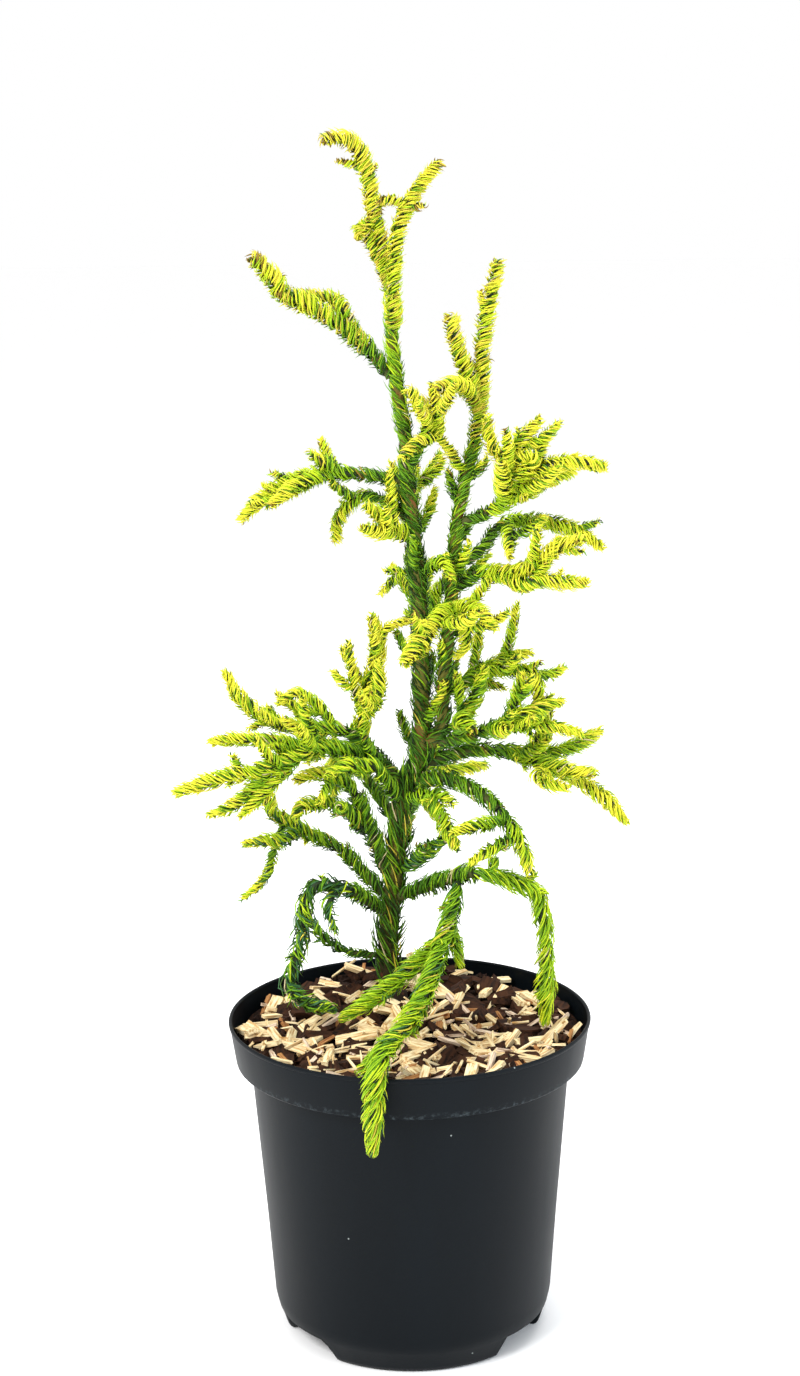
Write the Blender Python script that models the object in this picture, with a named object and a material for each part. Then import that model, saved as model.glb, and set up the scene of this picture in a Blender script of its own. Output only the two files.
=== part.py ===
"""Young spiral-needled Japanese cedar in a round nursery pot.

Sizes are millimetres and degrees, and meshes are written in metres. +Z is up, +X is the
plant's right and +Y its back. The origin is the middle of the pot's flat underside. A heading
is a compass angle: 0 is right, 90 is back, 180 is left and 270 is front.
"""
import math
import random

import bmesh
import bpy
from mathutils import Matrix, Vector

MM = 0.001
GAP = 0.3
WELDS = (0.06, 0.03, 0.01, 0.002, 0.0005)
GOLDEN_ANGLE = 137.5
SEED = 240

# Pot: a thin moulded shell with a deep rim band and three broad feet.
POT_SIDES = 40
POT_TURN = 2.0
POT_HEIGHT = 196.0
RIM_RADIUS = 110.0
RIM_BAND = 26.6
BAND_FOOT_RADIUS = 105.7
BODY_TOP_RADIUS = 97.1
BODY_FOOT_RADIUS = 85.3
BODY_FOOT_HEIGHT = 18.5
FOOT_RADIUS = 76.5
FOOT_HEIGHT = 13.5
WALL = 1.8
LIP_EDGE = 1.0
SHOULDER_LOW = 1.1
SHOULDER_HIGH = 1.9
FLOOR_TOP = 15.5
FLOOR_RADIUS = 82.0
UNDERSIDE = 13.0
DRAIN_FALL = 0.6
SLOT_INNER = 44.0
SLOT_OUTER = 60.0
SLOT_COUNT = 8
PAD_RADIUS = 12.0
ARCH_HEIGHT = 11.5
ARCH_WIDTH = 26.0
ARCH_SLOPE = 6.0
ARCH_HEADINGS = (92.0, 215.0, 328.0)

# Potting mix: fills the pot, heaped round the foot of the trunk and banked up behind it.
MIX_LEVEL = 180.5
BANK_START = 50.0
BANK_SLOPE = 0.16
MIX_HEAP = 9.5
MIX_RINGS = 5
MIX_BUMP = 1.6
HEAP_SPREAD = 42.0
LEVEL_RING = 25.0
FOOT_PLACE = (-9.0, 35.0)
FOOT_PAD = 15.0

# Stems: (height, right, back) of each bend, and a thickness that tapers evenly.
STEM_SIDES = 8
STEM_STEP = 18.0
TRUNK_FOOT = MIX_LEVEL + MIX_HEAP + GAP
TRUNK_BENDS = (
    (TRUNK_FOOT, -9, 35), (225, -13, 36), (264, -9, 34), (316, -3, 30), (334, 1, 29),
    (350, 9, 27), (382, 10, 25), (425, 10, 23), (472, 8, 21), (510, 4, 19), (545, 2, 17),
    (580, -3, 15), (606, -5, 13), (628, -5, 12),
)
TRUNK_GIRTH = (14.5, 6.2)
ROOT_FLARE = 4.0
ROOT_FLARE_HEIGHT = 11.0
SECOND_BENDS = (
    (352, 17, 20), (372, 22, 19), (400, 23, 19), (425, 26, 19), (455, 29, 20), (492, 32, 22),
    (515, 36, 24), (540, 43, 26),
)
SECOND_GIRTH = (9.6, 7.0)

# Shoots: ropes of needles on a slim core.
SHOOT_SIDES = 6
SHOOT_STEP = 12.5
GROOVE = 0.8
GROOVE_TURN = 30.0
TIP_LENGTH = 11.0
TIP_WIDTH = 0.42
TIP_ROUNDNESS = 0.6
ROOT_SLIM = 0.62
FORK_CLEAR = 1.5
SHOOT_CLEAR = 0.9
RIM_CLEAR = 4.0
BEND_ROUNDS = 12
BEND_SPREAD = 1.6
SEAT_STEP = 0.1
TWIG_SPACING = 60.0
TWIG_LENGTH = (7.0, 12.0)
TWIG_GIRTH = 0.62
NEEDLE_SPACING = 44.0
NEEDLE_LENGTH = (5.0, 7.5)
NEEDLE_WIDTH = 1.5


def arc(heading, rise, length, turn=0.0, lift=0.0):
    """One even bend: it sets off at heading and rise, and turns and lifts along its length."""
    return {"heading": heading, "rise": rise, "length": length, "turn": turn, "lift": lift}


def shoot(share, girth, *arcs, forks=()):
    """A shoot that leaves its parent at a share of the parent's length."""
    return {"share": share, "girth": girth, "arcs": arcs, "forks": forks}


# Boughs: name, the limb that carries it, where on it (a height on a stem, or a share of a
# bough's length), thickness at both ends, and its bend.
BOUGHS = (
    ("left_arm_bough", "trunk", 573, (6.6, 6.0), arc(190, 58, 24, 0, -4)),
    ("left_tier_bough", "trunk", 519, (6.6, 6.0), arc(186, 12, 30, 0, -5)),
    ("left_second_bough", "trunk", 490, (6.4, 5.6), arc(165, 62, 28, 8, -40)),
    ("right_upper_bough", "second_stem", 493, (6.6, 6.0), arc(332, 18, 22, 0, 6)),
    ("right_second_bough", "second_stem", 468, (6.4, 5.6), arc(15, 14, 34, 0, 50)),
    ("right_third_bough", "second_stem", 450, (6.6, 6.0), arc(322, 50, 24, 0, -20)),
    ("left_spread_bough", "trunk", 328, (8.4, 7.0), arc(198, 58, 54, 0, -18)),
    ("left_rising_bough", "trunk", 262, (9.4, 8.0), arc(208, 72, 70, -4, -4)),
    ("left_low_bough", "trunk", 256, (8.0, 7.0), arc(172, 46, 45, 0, 4)),
    ("left_loop_bough", "trunk", 247, (8.6, 7.6), arc(228, 37, 41, 0, -4)),
    ("left_thin_bough", "trunk", 222, (5.0, 4.4), arc(188, -6, 26, 0, 26)),
    ("right_middle_bough", "second_stem", 356, (7.6, 7.0), arc(335, 14, 32, 0, 6)),
    ("right_reaching_bough", "trunk", 344, (8.2, 7.2), arc(354, 24, 46, 0, -20)),
    ("right_drooping_bough", "trunk", 333, (8.2, 7.4), arc(316, 30, 70, 18, -72)),
    ("lower_right_bough", "trunk", 258, (9.0, 8.4), arc(318, 27, 72, 0, -6)),
    ("back_low_bough", "trunk", 282, (8.0, 7.0), arc(72, 48, 46, 0, -16)),
    ("back_left_bough", "trunk", 305, (7.6, 6.6), arc(122, 38, 44, 0, -12)),
    ("back_middle_bough", "trunk", 408, (6.6, 6.0), arc(84, 42, 30, 0, -12)),
    ("back_upper_bough", "trunk", 484, (6.0, 5.4), arc(94, 46, 20, 0, -10)),
)

# Masses of foliage: name, the limb that carries it, where on it ("tip" or as above), and its
# shoots. Each shoot is one rope of needles with its own forks.
MASSES = (
    ("leader_shoots", "trunk", "tip", shoot(
        0, 7.6, arc(190, 78, 62, 0, 2), arc(195, 84, 20, 0, -19), arc(200, 60, 25, 0, -85),
        forks=(
            shoot(0.04, 6.6, arc(195, 25, 52, 0, 115)),
            shoot(0.47, 4.8, arc(345, 40, 12, 0, -40)),
            shoot(0.67, 4.4, arc(190, 25, 17, 0, -15)),
        ))),
    ("second_leader_shoots", "trunk", 600, shoot(
        0, 6.8, arc(276, 52, 32, 0, 36), arc(0, 89, 26, 0, -3), arc(15, 82, 20, 0, -20),
        arc(10, 64, 34, 0, -22),
        forks=(
            shoot(0.70, 5.4, arc(330, 5, 11)),
            shoot(0.70, 5.0, arc(200, 40, 19, 0, -60)),
        ))),
    ("left_arm_shoots", "left_arm_bough", "tip", shoot(
        0, 8.6, arc(190, 46, 44, 0, -14), arc(186, 28, 20, 0, -4), arc(200, 54, 28, 0, -10),
        forks=(
            shoot(0.06, 6.4, arc(158, 80, 28, 0, -40), arc(178, 36, 26, 0, -34)),
            shoot(0.62, 5.4, arc(205, 5, 12, 0, 20)),
        ))),
    ("right_leader_shoots", "second_stem", "tip", shoot(
        0, 7.4, arc(20, 77, 56, 0, 16), arc(10, 82, 51, 0, -8),
        forks=(
            shoot(0.15, 7.4, arc(232, 74, 50, 0, -100)),
            shoot(0.24, 8.0, arc(204, 56, 54, 0, 26)),
            shoot(0.72, 4.6, arc(195, 55, 13, 0, 30)),
        ))),
    ("inner_fan_shoots", "second_stem", 520, shoot(
        0, 5.4, arc(215, 60, 34, 0, -14),
        forks=(
            shoot(0.90, 6.6, arc(264, 58, 34, 0, 25)),
            shoot(0.92, 8.6, arc(205, 58, 34, 0, -6)),
            shoot(0.94, 7.4, arc(214, 0, 29, 0, -46)),
        ))),
    ("right_upper_shoots", "right_upper_bough", "tip", shoot(
        0, 7.6, arc(334, 28, 16, 0, 8), arc(346, 58, 64, 0, -78),
        forks=(
            shoot(0.03, 7.0, arc(210, 82, 54, 0, 8)),
            shoot(0.16, 8.6, arc(262, 50, 36, 0, -10)),
            shoot(0.22, 7.0, arc(352, 100, 50, 0, -62)),
            shoot(0.18, 7.4, arc(30, 20, 48, 0, -8)),
            shoot(0.80, 4.6, arc(5, -30, 14, 0, 20)),
        ))),
    ("right_second_shoots", "right_second_bough", "tip", shoot(
        0, 7.4, arc(5, 34, 12, 0, -20), arc(348, 6, 56, 0, -44),
        forks=(
            shoot(0.14, 6.4, arc(268, -18, 34, 0, -20)),
            shoot(0.74, 4.6, arc(10, 25, 15, 0, -10)),
        ))),
    ("right_third_shoots", "right_third_bough", "tip", shoot(
        0, 8.2, arc(332, 28, 26, 0, -4), arc(344, 20, 42, 0, -10),
        forks=(
            shoot(0.10, 7.6, arc(322, -20, 36, 6, 34), arc(342, 0, 29, 0, 0)),
            shoot(0.80, 4.8, arc(345, -20, 14, 0, 20)),
        ))),
    ("front_shoots", "second_stem", 440, shoot(
        0, 7.0, arc(270, 22, 18, 0, 0),
        forks=(
            shoot(0.72, 7.6, arc(322, 18, 35, 0, -70)),
            shoot(0.80, 9.4, arc(238, -20, 58, 0, -10)),
            shoot(0.50, 6.6, arc(330, -20, 36, -20, -130)),
        ))),
    ("inner_right_shoots", "trunk", 462, shoot(
        0, 5.6, arc(318, 76, 36, 0, -150),
        forks=(shoot(0.30, 4.6, arc(330, 70, 14, 0, -60)),),)),
    ("left_inner_shoots", "trunk", 463, shoot(
        0, 5.4, arc(165, 10, 12, 0, 0),
        forks=(
            shoot(0.60, 5.4, arc(175, 20, 11, 0, -40)),
            shoot(0.60, 5.4, arc(172, -40, 19, 0, -10)),
        ))),
    ("left_tier_shoots", "left_tier_bough", "tip", shoot(
        0, 7.6, arc(184, 5, 16, 0, 0), arc(176, -2, 62, 0, -50),
        forks=(
            shoot(0.14, 7.6, arc(205, 30, 22, 0, 8)),
            shoot(0.16, 7.6, arc(206, -4, 46, 0, -34)),
            shoot(0.52, 4.8, arc(190, 30, 12, 0, -10)),
        ))),
    ("left_second_shoots", "left_second_bough", "tip", shoot(
        0, 6.6, arc(172, 18, 11, 0, -26), arc(178, -24, 32, 0, -72))),
    ("left_third_shoots", "trunk", 480, shoot(
        0, 8.4, arc(204, 42, 41, 0, -4),
        forks=(shoot(0.22, 7.8, arc(232, 8, 34, 0, 4)),),)),
    ("left_upright_shoots", "left_spread_bough", 0.68, shoot(
        0, 8.6, arc(236, 68, 18, 0, 16), arc(0, 79, 32, 0, -6), arc(0, 74, 32, 0, 36),
        forks=(
            shoot(0.14, 7.6, arc(318, 34, 42, 0, 72)),
            shoot(0.18, 5.6, arc(192, 74, 46, 0, 12)),
            shoot(0.70, 5.0, arc(8, 84, 32, 0, -88)),
        ))),
    ("left_spread_shoots", "left_spread_bough", "tip", shoot(
        0, 8.0, arc(184, 22, 16, 0, -26), arc(180, -2, 30, 0, 20), arc(180, 22, 42, 0, 50),
        forks=(
            shoot(0.10, 5.8, arc(166, 66, 32, 0, -44), arc(200, -18, 14, 0, -10)),
            shoot(0.56, 5.4, arc(200, -26, 13, 0, 10)),
        ))),
    ("left_outer_shoots", "left_spread_bough", 0.40, shoot(
        0, 8.0, arc(212, 27, 46, -8, -22), arc(200, -20, 40, 0, 8), arc(188, -4, 48, 0, -18),
        forks=(
            shoot(0.22, 6.8, arc(198, 34, 34, 0, 2)),
            shoot(0.32, 7.0, arc(186, 20, 60, 0, -26)),
            shoot(0.38, 6.6, arc(206, -40, 50, 0, 0)),
            shoot(0.54, 7.0, arc(200, -60, 46, 0, 50)),
            shoot(0.68, 5.2, arc(230, 66, 14, 0, -10)),
        ))),
    ("left_rising_shoots", "left_rising_bough", "tip", shoot(
        0, 8.0, arc(198, 58, 16, 0, -24), arc(190, 30, 26, 0, -58),
        forks=(shoot(0.46, 6.2, arc(240, -30, 20, 0, -10)),),)),
    ("left_arch_shoots", "trunk", 314, shoot(
        0, 7.6, arc(242, 68, 46, -18, -34), arc(204, 16, 28, 0, -38))),
    ("left_curled_shoots", "left_rising_bough", 0.32, shoot(
        0, 7.4, arc(218, 55, 42, -6, -12), arc(196, 30, 22, 0, -50), arc(200, -40, 9, 0, -30),
        forks=(shoot(0.45, 7.0, arc(275, 10, 16, 0, 10)),),)),
    ("left_low_shoots", "left_low_bough", "tip", shoot(
        0, 8.4, arc(184, 24, 49, 0, 12), arc(172, 68, 22, 0, 8),
        forks=(
            shoot(0.40, 7.6, arc(232, -8, 20, 0, 0), arc(200, 14, 22, 0, -24)),
            shoot(0.56, 5.0, arc(215, -56, 32, 0, -20), arc(200, -60, 24, 0, 34)),
        ))),
    ("left_loop_shoots", "left_loop_bough", "tip", shoot(
        0, 8.2, arc(206, 36, 27, 0, -40), arc(214, -52, 30, 0, -40), arc(212, -76, 33, 0, 6),
        arc(325, -46, 31, 20, 54),
        forks=(shoot(0.06, 6.8, arc(262, -24, 30, 0, -44)),),)),
    ("left_thin_shoots", "left_thin_bough", "tip", shoot(
        0, 5.8, arc(186, 24, 22, 0, 26), arc(178, 56, 22, 0, 20))),
    ("right_high_shoots", "second_stem", 388, shoot(
        0, 7.6, arc(8, 44, 24, 0, -20), arc(345, 26, 36, 0, -48), arc(312, -50, 20, 0, -56),
        forks=(
            shoot(0.10, 7.0, arc(26, 31, 50, 0, -26)),
            shoot(0.16, 6.4, arc(352, -4, 22, 0, -10)),
        ))),
    ("right_middle_shoots", "right_middle_bough", "tip", shoot(
        0, 8.0, arc(340, 22, 26, 0, 6), arc(18, 30, 30, 0, -26),
        forks=(
            shoot(0.08, 6.6, arc(350, 16, 60, 0, -32)),
            shoot(0.18, 9.4, arc(290, 8, 26, 0, 4)),
            shoot(0.32, 7.0, arc(6, 52, 32, 0, 34)),
            shoot(0.52, 5.0, arc(322, -26, 14, 0, -50)),
        ))),
    ("right_inner_shoots", "right_middle_bough", 0.36, shoot(
        0, 7.4, arc(300, 48, 14, 0, 0), arc(345, 60, 38, 0, 14),
        forks=(shoot(0.16, 9.6, arc(290, 6, 24, 0, 0)),),)),
    ("right_reaching_shoots", "right_reaching_bough", "tip", shoot(
        0, 7.6, arc(2, -6, 30, 0, -8), arc(350, -26, 34, 0, -8), arc(340, -26, 32, 0, -28),
        forks=(
            shoot(0.08, 8.0, arc(338, -20, 60, 0, 22)),
            shoot(0.04, 7.0, arc(318, -32, 58, 0, 34)),
            shoot(0.30, 7.8, arc(24, -2, 46, 0, 32)),
        ))),
    ("right_drooping_shoots", "right_drooping_bough", "tip", shoot(
        0, 8.0, arc(330, -46, 24, 0, -14), arc(335, -64, 18, 0, -10),
        forks=(
            shoot(0.22, 7.0, arc(208, 4, 36, 0, -14)),
            shoot(0.48, 6.4, arc(222, -6, 38, 0, -12)),
        ))),
    ("front_low_shoots", "trunk", 324, shoot(
        0, 8.0, arc(286, 42, 38, 36, -86), arc(318, -54, 26, 0, 0),
        forks=(shoot(0.30, 7.0, arc(332, 26, 20, 0, -66)),),)),
    ("right_lower_inner_shoots", "trunk", 272, shoot(
        0, 7.8, arc(324, 44, 48, 0, -10),
        forks=(shoot(0.30, 4.8, arc(295, 48, 20, 0, -20)),),)),
    ("right_hanging_shoots", "lower_right_bough", "tip", shoot(
        0, 8.6, arc(350, -4, 40, 0, -26), arc(330, -70, 28, 0, -14), arc(260, -84, 50, 0, -4),
        forks=(
            shoot(0.22, 5.0, arc(350, 20, 12, 0, 20)),
            shoot(0.07, 8.6, arc(50, 56, 10)),
        ))),
    ("front_hanging_shoots", "lower_right_bough", 0.82, shoot(
        0, 9.6, arc(250, -50, 38, 0, 6), arc(249, -38, 52, 0, 8), arc(240, -24, 46, 0, 8),
        arc(245, -20, 26, 0, -64), arc(250, -86, 32),
        forks=(
            shoot(0.18, 8.4, arc(200, -42, 36, 0, 4), arc(203, -32, 42, 0, 10)),
            shoot(0.28, 7.2, arc(222, -52, 36, 0, -6)),
            shoot(0.14, 7.0, arc(330, -66, 25, 0, -14)),
            shoot(0.64, 7.6, arc(205, -32, 24, 0, -6)),
        ))),
    ("back_low_shoots", "back_low_bough", "tip", shoot(
        0, 8.0, arc(80, 24, 60, 0, -50),
        forks=(
            shoot(0.04, 7.4, arc(35, 30, 60, 0, -34), forks=(
                shoot(0.45, 6.0, arc(70, 26, 26, 0, -10)),)),
            shoot(0.30, 7.0, arc(118, 16, 50, 0, -40)),
            shoot(0.20, 6.6, arc(70, -14, 46, 0, -40)),
        ))),
    ("back_left_shoots", "back_left_bough", "tip", shoot(
        0, 7.6, arc(118, 20, 56, 0, -46),
        forks=(
            shoot(0.04, 7.0, arc(156, 26, 54, 0, -34), forks=(
                shoot(0.50, 6.0, arc(120, 30, 24, 0, -10)),)),
            shoot(0.24, 7.0, arc(92, 34, 48, 0, -20)),
            shoot(0.30, 6.4, arc(125, -24, 40, 0, -40)),
        ))),
    ("back_middle_shoots", "back_middle_bough", "tip", shoot(
        0, 7.2, arc(84, 26, 62, 0, -44),
        forks=(
            shoot(0.10, 6.8, arc(48, 58, 48, 0, -24)),
            shoot(0.20, 6.4, arc(126, 44, 44, 0, -10)),
            shoot(0.34, 6.8, arc(112, 8, 42, 0, -50)),
        ))),
    ("back_upper_shoots", "back_upper_bough", "tip", shoot(
        0, 6.8, arc(92, 34, 54, 0, -44),
        forks=(
            shoot(0.16, 6.4, arc(104, 76, 42, 0, -14)),
            shoot(0.40, 5.8, arc(52, 34, 30, 0, -10)),
        ))),
)


def heading_vector(heading, rise):
    """The unit direction of a compass heading and an angle above level."""
    side = math.radians(heading)
    up = math.radians(rise)
    return Vector((math.cos(side) * math.cos(up), math.sin(side) * math.cos(up), math.sin(up)))


def arc_points(start, arcs, step):
    """Points along arcs that follow on from each other."""
    points = [start.copy()]
    for bend in arcs:
        count = max(2, round(bend["length"] / step))
        for index in range(count):
            share = (index + 0.5) / count
            heading = bend["heading"] + bend["turn"] * share
            rise = bend["rise"] + bend["lift"] * share
            points.append(points[-1] + heading_vector(heading, rise) * bend["length"] / count)
    return points


def smooth_points(bends, step):
    """Points along a smooth curve through the bends of a stem."""
    knots = [Vector((right, back, height)) for height, right, back in bends]
    ends = [knots[0] * 2 - knots[1]] + knots + [knots[-1] * 2 - knots[-2]]
    points = [knots[0]]
    for index in range(1, len(knots)):
        before, first, last, after = ends[index - 1:index + 3]
        count = max(1, round((last - first).length / step))
        for piece in range(1, count + 1):
            t = piece / count
            points.append(0.5 * (
                2 * first + (last - before) * t
                + (2 * before - 5 * first + 4 * last - after) * t ** 2
                + (3 * first - before - 3 * last + after) * t ** 3))
    return points


def path_lengths(points):
    """Length from the start of the path to each of its points."""
    lengths = [0.0]
    for first, last in zip(points, points[1:]):
        lengths.append(lengths[-1] + (last - first).length)
    return lengths


def point_at(limb, share):
    """The point, direction and radius of a limb at a share of its length."""
    points, radii, lengths = limb["points"], limb["radii"], limb["lengths"]
    target = max(0.0, min(1.0, share)) * lengths[-1]
    for index in range(1, len(points)):
        if lengths[index] >= target:
            break
    t = (target - lengths[index - 1]) / (lengths[index] - lengths[index - 1])
    along = (points[index] - points[index - 1]).normalized()
    radius = radii[index - 1] + (radii[index] - radii[index - 1]) * t
    return points[index - 1].lerp(points[index], t), along, radius


def share_at_height(limb, height):
    """The share of a stem's length at which it reaches a height."""
    points, lengths = limb["points"], limb["lengths"]
    for index in range(1, len(points)):
        if points[index].z >= height:
            break
    t = (height - points[index - 1].z) / (points[index].z - points[index - 1].z)
    return (lengths[index - 1] + (lengths[index] - lengths[index - 1]) * t) / lengths[-1]


def make_limb(points, radii):
    """A limb's centre line, with its radius and its length so far at each point."""
    return {"points": points, "radii": radii, "lengths": path_lengths(points)}


def taper(points, girth):
    """Radii that go evenly from the first girth to the last."""
    lengths = path_lengths(points)
    first, last = girth[0] / 2, girth[1] / 2
    return [first + (last - first) * length / lengths[-1] for length in lengths]


def shoot_radii(points, girth, rooted):
    """Radii of a shoot: full along its length, rounded off at its tip, slim at a sunk root."""
    lengths = path_lengths(points)
    radii = []
    for length in lengths:
        share = min(1.0, (lengths[-1] - length) / TIP_LENGTH)
        radii.append(girth / 2 * (TIP_WIDTH + (1 - TIP_WIDTH) * share ** TIP_ROUNDNESS))
    if rooted:
        radii[0] = girth / 2 * ROOT_SLIM
    return radii


def distance_to_limb(point, limb):
    """Distance from a point to a limb's surface."""
    nearest = 1e9
    points, radii = limb["points"], limb["radii"]
    for index in range(len(points) - 1):
        first, last = points[index], points[index + 1]
        span = last - first
        t = max(0.0, min(1.0, (point - first).dot(span) / span.length_squared))
        radius = radii[index] + (radii[index + 1] - radii[index]) * t
        nearest = min(nearest, (point - first - span * t).length - radius)
    return nearest


def nearest_shares(a, b, c, d):
    """The shares along two straight lengths ab and cd at which they come nearest."""
    u, v, w = b - a, d - c, a - c
    uu, uv, vv, uw, vw = u.dot(u), u.dot(v), v.dot(v), u.dot(w), v.dot(w)
    spread = uu * vv - uv * uv
    s = 0.0 if spread < 1e-9 else max(0.0, min(1.0, (uv * vw - vv * uw) / spread))
    t = max(0.0, min(1.0, (uv * s + vw) / vv))
    s = max(0.0, min(1.0, (uv * t - uw) / uu))
    return s, t


def near_box(limb, other, clear):
    """Whether the boxes round two limbs come near each other."""
    reach = max(limb["radii"]) + max(other["radii"]) + clear
    for axis in range(3):
        mine = [point[axis] for point in limb["points"]]
        theirs = [point[axis] for point in other["points"]]
        if min(mine) > max(theirs) + reach or max(mine) < min(theirs) - reach:
            return False
    return True


def near_misses(limb, others, clear):
    """Where a limb comes too near others: its place along the path, and the push that frees it."""
    points, radii = limb["points"], limb["radii"]
    for other in others:
        if not near_box(limb, other, clear):
            continue
        for i in range(len(points) - 1):
            for j in range(len(other["points"]) - 1):
                first, last = other["points"][j:j + 2]
                s, t = nearest_shares(points[i], points[i + 1], first, last)
                between = points[i].lerp(points[i + 1], s) - first.lerp(last, t)
                reach = max(radii[i:i + 2]) + max(other["radii"][j:j + 2]) + clear
                if between.length < reach:
                    yield i + s, between.normalized() * (reach - between.length)


def is_clear(limb, others, clear):
    """Whether a limb keeps clear of all the others."""
    return next(near_misses(limb, others, clear), None) is None


def bend_clear(limb, others):
    """Ease a path sideways off every limb it would touch; its first point stays."""
    points = limb["points"]
    for _ in range(BEND_ROUNDS):
        worst = {}
        for place, push in near_misses(limb, others, SHOOT_CLEAR):
            if push.length > worst.get(int(place), (0.0, Vector()))[1].length:
                worst[int(place)] = (place, push)
        if not worst:
            break
        for place, push in worst.values():
            for index in range(1, len(points)):
                share = math.exp(-((index - place) / BEND_SPREAD) ** 2)
                points[index] = points[index] + push * share
    limb["lengths"] = path_lengths(points)


def ring_frames(points):
    """A pair of directions across the path at each point, carried along without twisting."""
    along = [(points[1] - points[0]).normalized()]
    for index in range(1, len(points) - 1):
        along.append((points[index + 1] - points[index - 1]).normalized())
    along.append((points[-1] - points[-2]).normalized())
    across = along[0].orthogonal().normalized()
    frames = []
    for direction in along:
        across = (across - direction * across.dot(direction)).normalized()
        frames.append((across, direction.cross(across)))
    return frames


def tube(points, radii, sides, groove=1.0, turn=0.0, pointed=True, level_foot=False):
    """A closed tube; every other corner is sunk by groove, and rings turn to twist it."""
    frames = ring_frames(points)
    if level_foot:
        frames[0] = (Vector((1, 0, 0)), Vector((0, 1, 0)))
    verts = []
    for index, (point, radius, frame) in enumerate(zip(points, radii, frames)):
        for side in range(sides):
            angle = math.radians(360.0 * side / sides + turn * index)
            reach = radius * (groove if side % 2 else 1.0)
            verts.append(point + (frame[0] * math.cos(angle) + frame[1] * math.sin(angle)) * reach)
    faces = []
    for index in range(len(points) - 1):
        for side in range(sides):
            low, high = index * sides, (index + 1) * sides
            after = (side + 1) % sides
            faces.append((low + side, low + after, high + after, high + side))
    foot = len(verts)
    verts.append(points[0].copy())
    verts.append(points[-1] + (points[-1] - points[-2]).normalized() * (radii[-1] * pointed))
    last = (len(points) - 1) * sides
    for side in range(sides):
        after = (side + 1) % sides
        faces.append((foot, after, side))
        faces.append((foot + 1, last + side, last + after))
    return verts, faces


def leave_carrier(points, radii, carrier):
    """Start a path where it comes out of the limb that carries it, and keep its root there."""
    path, widths = list(points), list(radii)
    while len(path) > 3 and distance_to_limb(path[1], carrier) < widths[0] + 1.0:
        path.pop(1)
        widths.pop(1)
    low, high = 0.0, 1.0
    for _ in range(20):
        middle = (low + high) / 2
        if distance_to_limb(path[0].lerp(path[1], middle), carrier) < 0:
            low = middle
        else:
            high = middle
    path[0] = path[0].lerp(path[1], high)
    return make_limb(path, widths)


def slide_to_seat(vert, direction, seat):
    """Slide a corner of the root end along its limb until it is a gap clear of the carrier."""
    if "tip" in seat:
        place, normal = seat["tip"]
        depth = (place - vert).dot(normal) + GAP
        return vert + direction * (depth / direction.dot(normal))
    low, high = 0.0, 60.0
    for _ in range(36):
        middle = (low + high) / 2
        if distance_to_limb(vert + direction * middle, seat["carrier"]) < GAP:
            low = middle
        else:
            high = middle
    return vert + direction * high


def find_seat(carrier_name, place):
    """Where a limb is rooted: the limb that carries it, the point, and the tip it stands on."""
    carrier = limbs[carrier_name]
    if place == "tip":
        point, along, _ = point_at(carrier, 1.0)
        return {"carrier": carrier, "root": point, "tip": (point, along)}
    share = share_at_height(carrier, place) if place > 1 else place
    return {"carrier": carrier, "root": point_at(carrier, share)[0]}


def seated_limb(points, radii, seat, others):
    """A limb that starts at its carrier's surface and is eased clear of the others."""
    if "tip" in seat:
        limb = make_limb(points, radii)
    else:
        limb = leave_carrier(points, radii, seat["carrier"])
    bend_clear(limb, [other for other in others if other is not seat["carrier"]])
    return limb


def seated_tube(limb, seat, sides, groove, turn, pointed):
    """A tube whose root end is shaped to the limb that carries it, a gap clear of it."""
    direction = (limb["points"][1] - limb["points"][0]).normalized()
    root = limb["points"][1] - direction * (limb["points"][1] - seat["root"]).length
    verts, faces = tube([root] + limb["points"][1:], limb["radii"], sides, groove, turn, pointed)
    middle = len(limb["points"]) * sides
    end = list(range(sides)) + [middle]
    for corner in end:
        verts[corner] = slide_to_seat(verts[corner], direction, seat)
    while "tip" not in seat and end_clearance(verts, sides, middle, seat["carrier"]) < GAP * 0.8:
        for corner in end:
            verts[corner] = verts[corner] + direction * SEAT_STEP
    return verts, outward(verts, faces)


def end_clearance(verts, sides, middle, carrier):
    """The least distance from the flat triangles of a root end to the limb that carries it."""
    least = 1e9
    for side in range(sides):
        first, last = verts[side], verts[(side + 1) % sides]
        for place in (first.lerp(last, 0.5), first.lerp(verts[middle], 0.33),
                      first.lerp(verts[middle], 0.67), first.lerp(last, 0.5).lerp(verts[middle], 0.5)):
            least = min(least, distance_to_limb(place, carrier))
    return least


def outward(verts, faces):
    """The faces, flipped if the closed mesh would be inside out."""
    volume = 0.0
    for face in faces:
        for index in range(1, len(face) - 1):
            a, b, c = verts[face[0]], verts[face[index]], verts[face[index + 1]]
            volume += a.dot(b.cross(c))
    if volume < 0:
        return [tuple(reversed(face)) for face in faces]
    return faces


def mesh_object(name, verts, faces, material):
    """Add a named object made of the given corners and faces."""
    mesh = bpy.data.meshes.new(name)
    mesh.from_pydata([vert * MM for vert in verts], [], faces)
    item = bpy.data.objects.new(name, mesh)
    bpy.context.scene.collection.objects.link(item)
    mesh.materials.append(material)
    return item


def make_material(name, colour, roughness):
    """A plain material of one colour and roughness."""
    material = bpy.data.materials.new(name)
    material.use_nodes = True
    shader = material.node_tree.nodes["Principled BSDF"]
    shader.inputs["Base Color"].default_value = (*colour, 1.0)
    shader.inputs["Roughness"].default_value = roughness
    shader.inputs["Metallic"].default_value = 0.0
    return material


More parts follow.
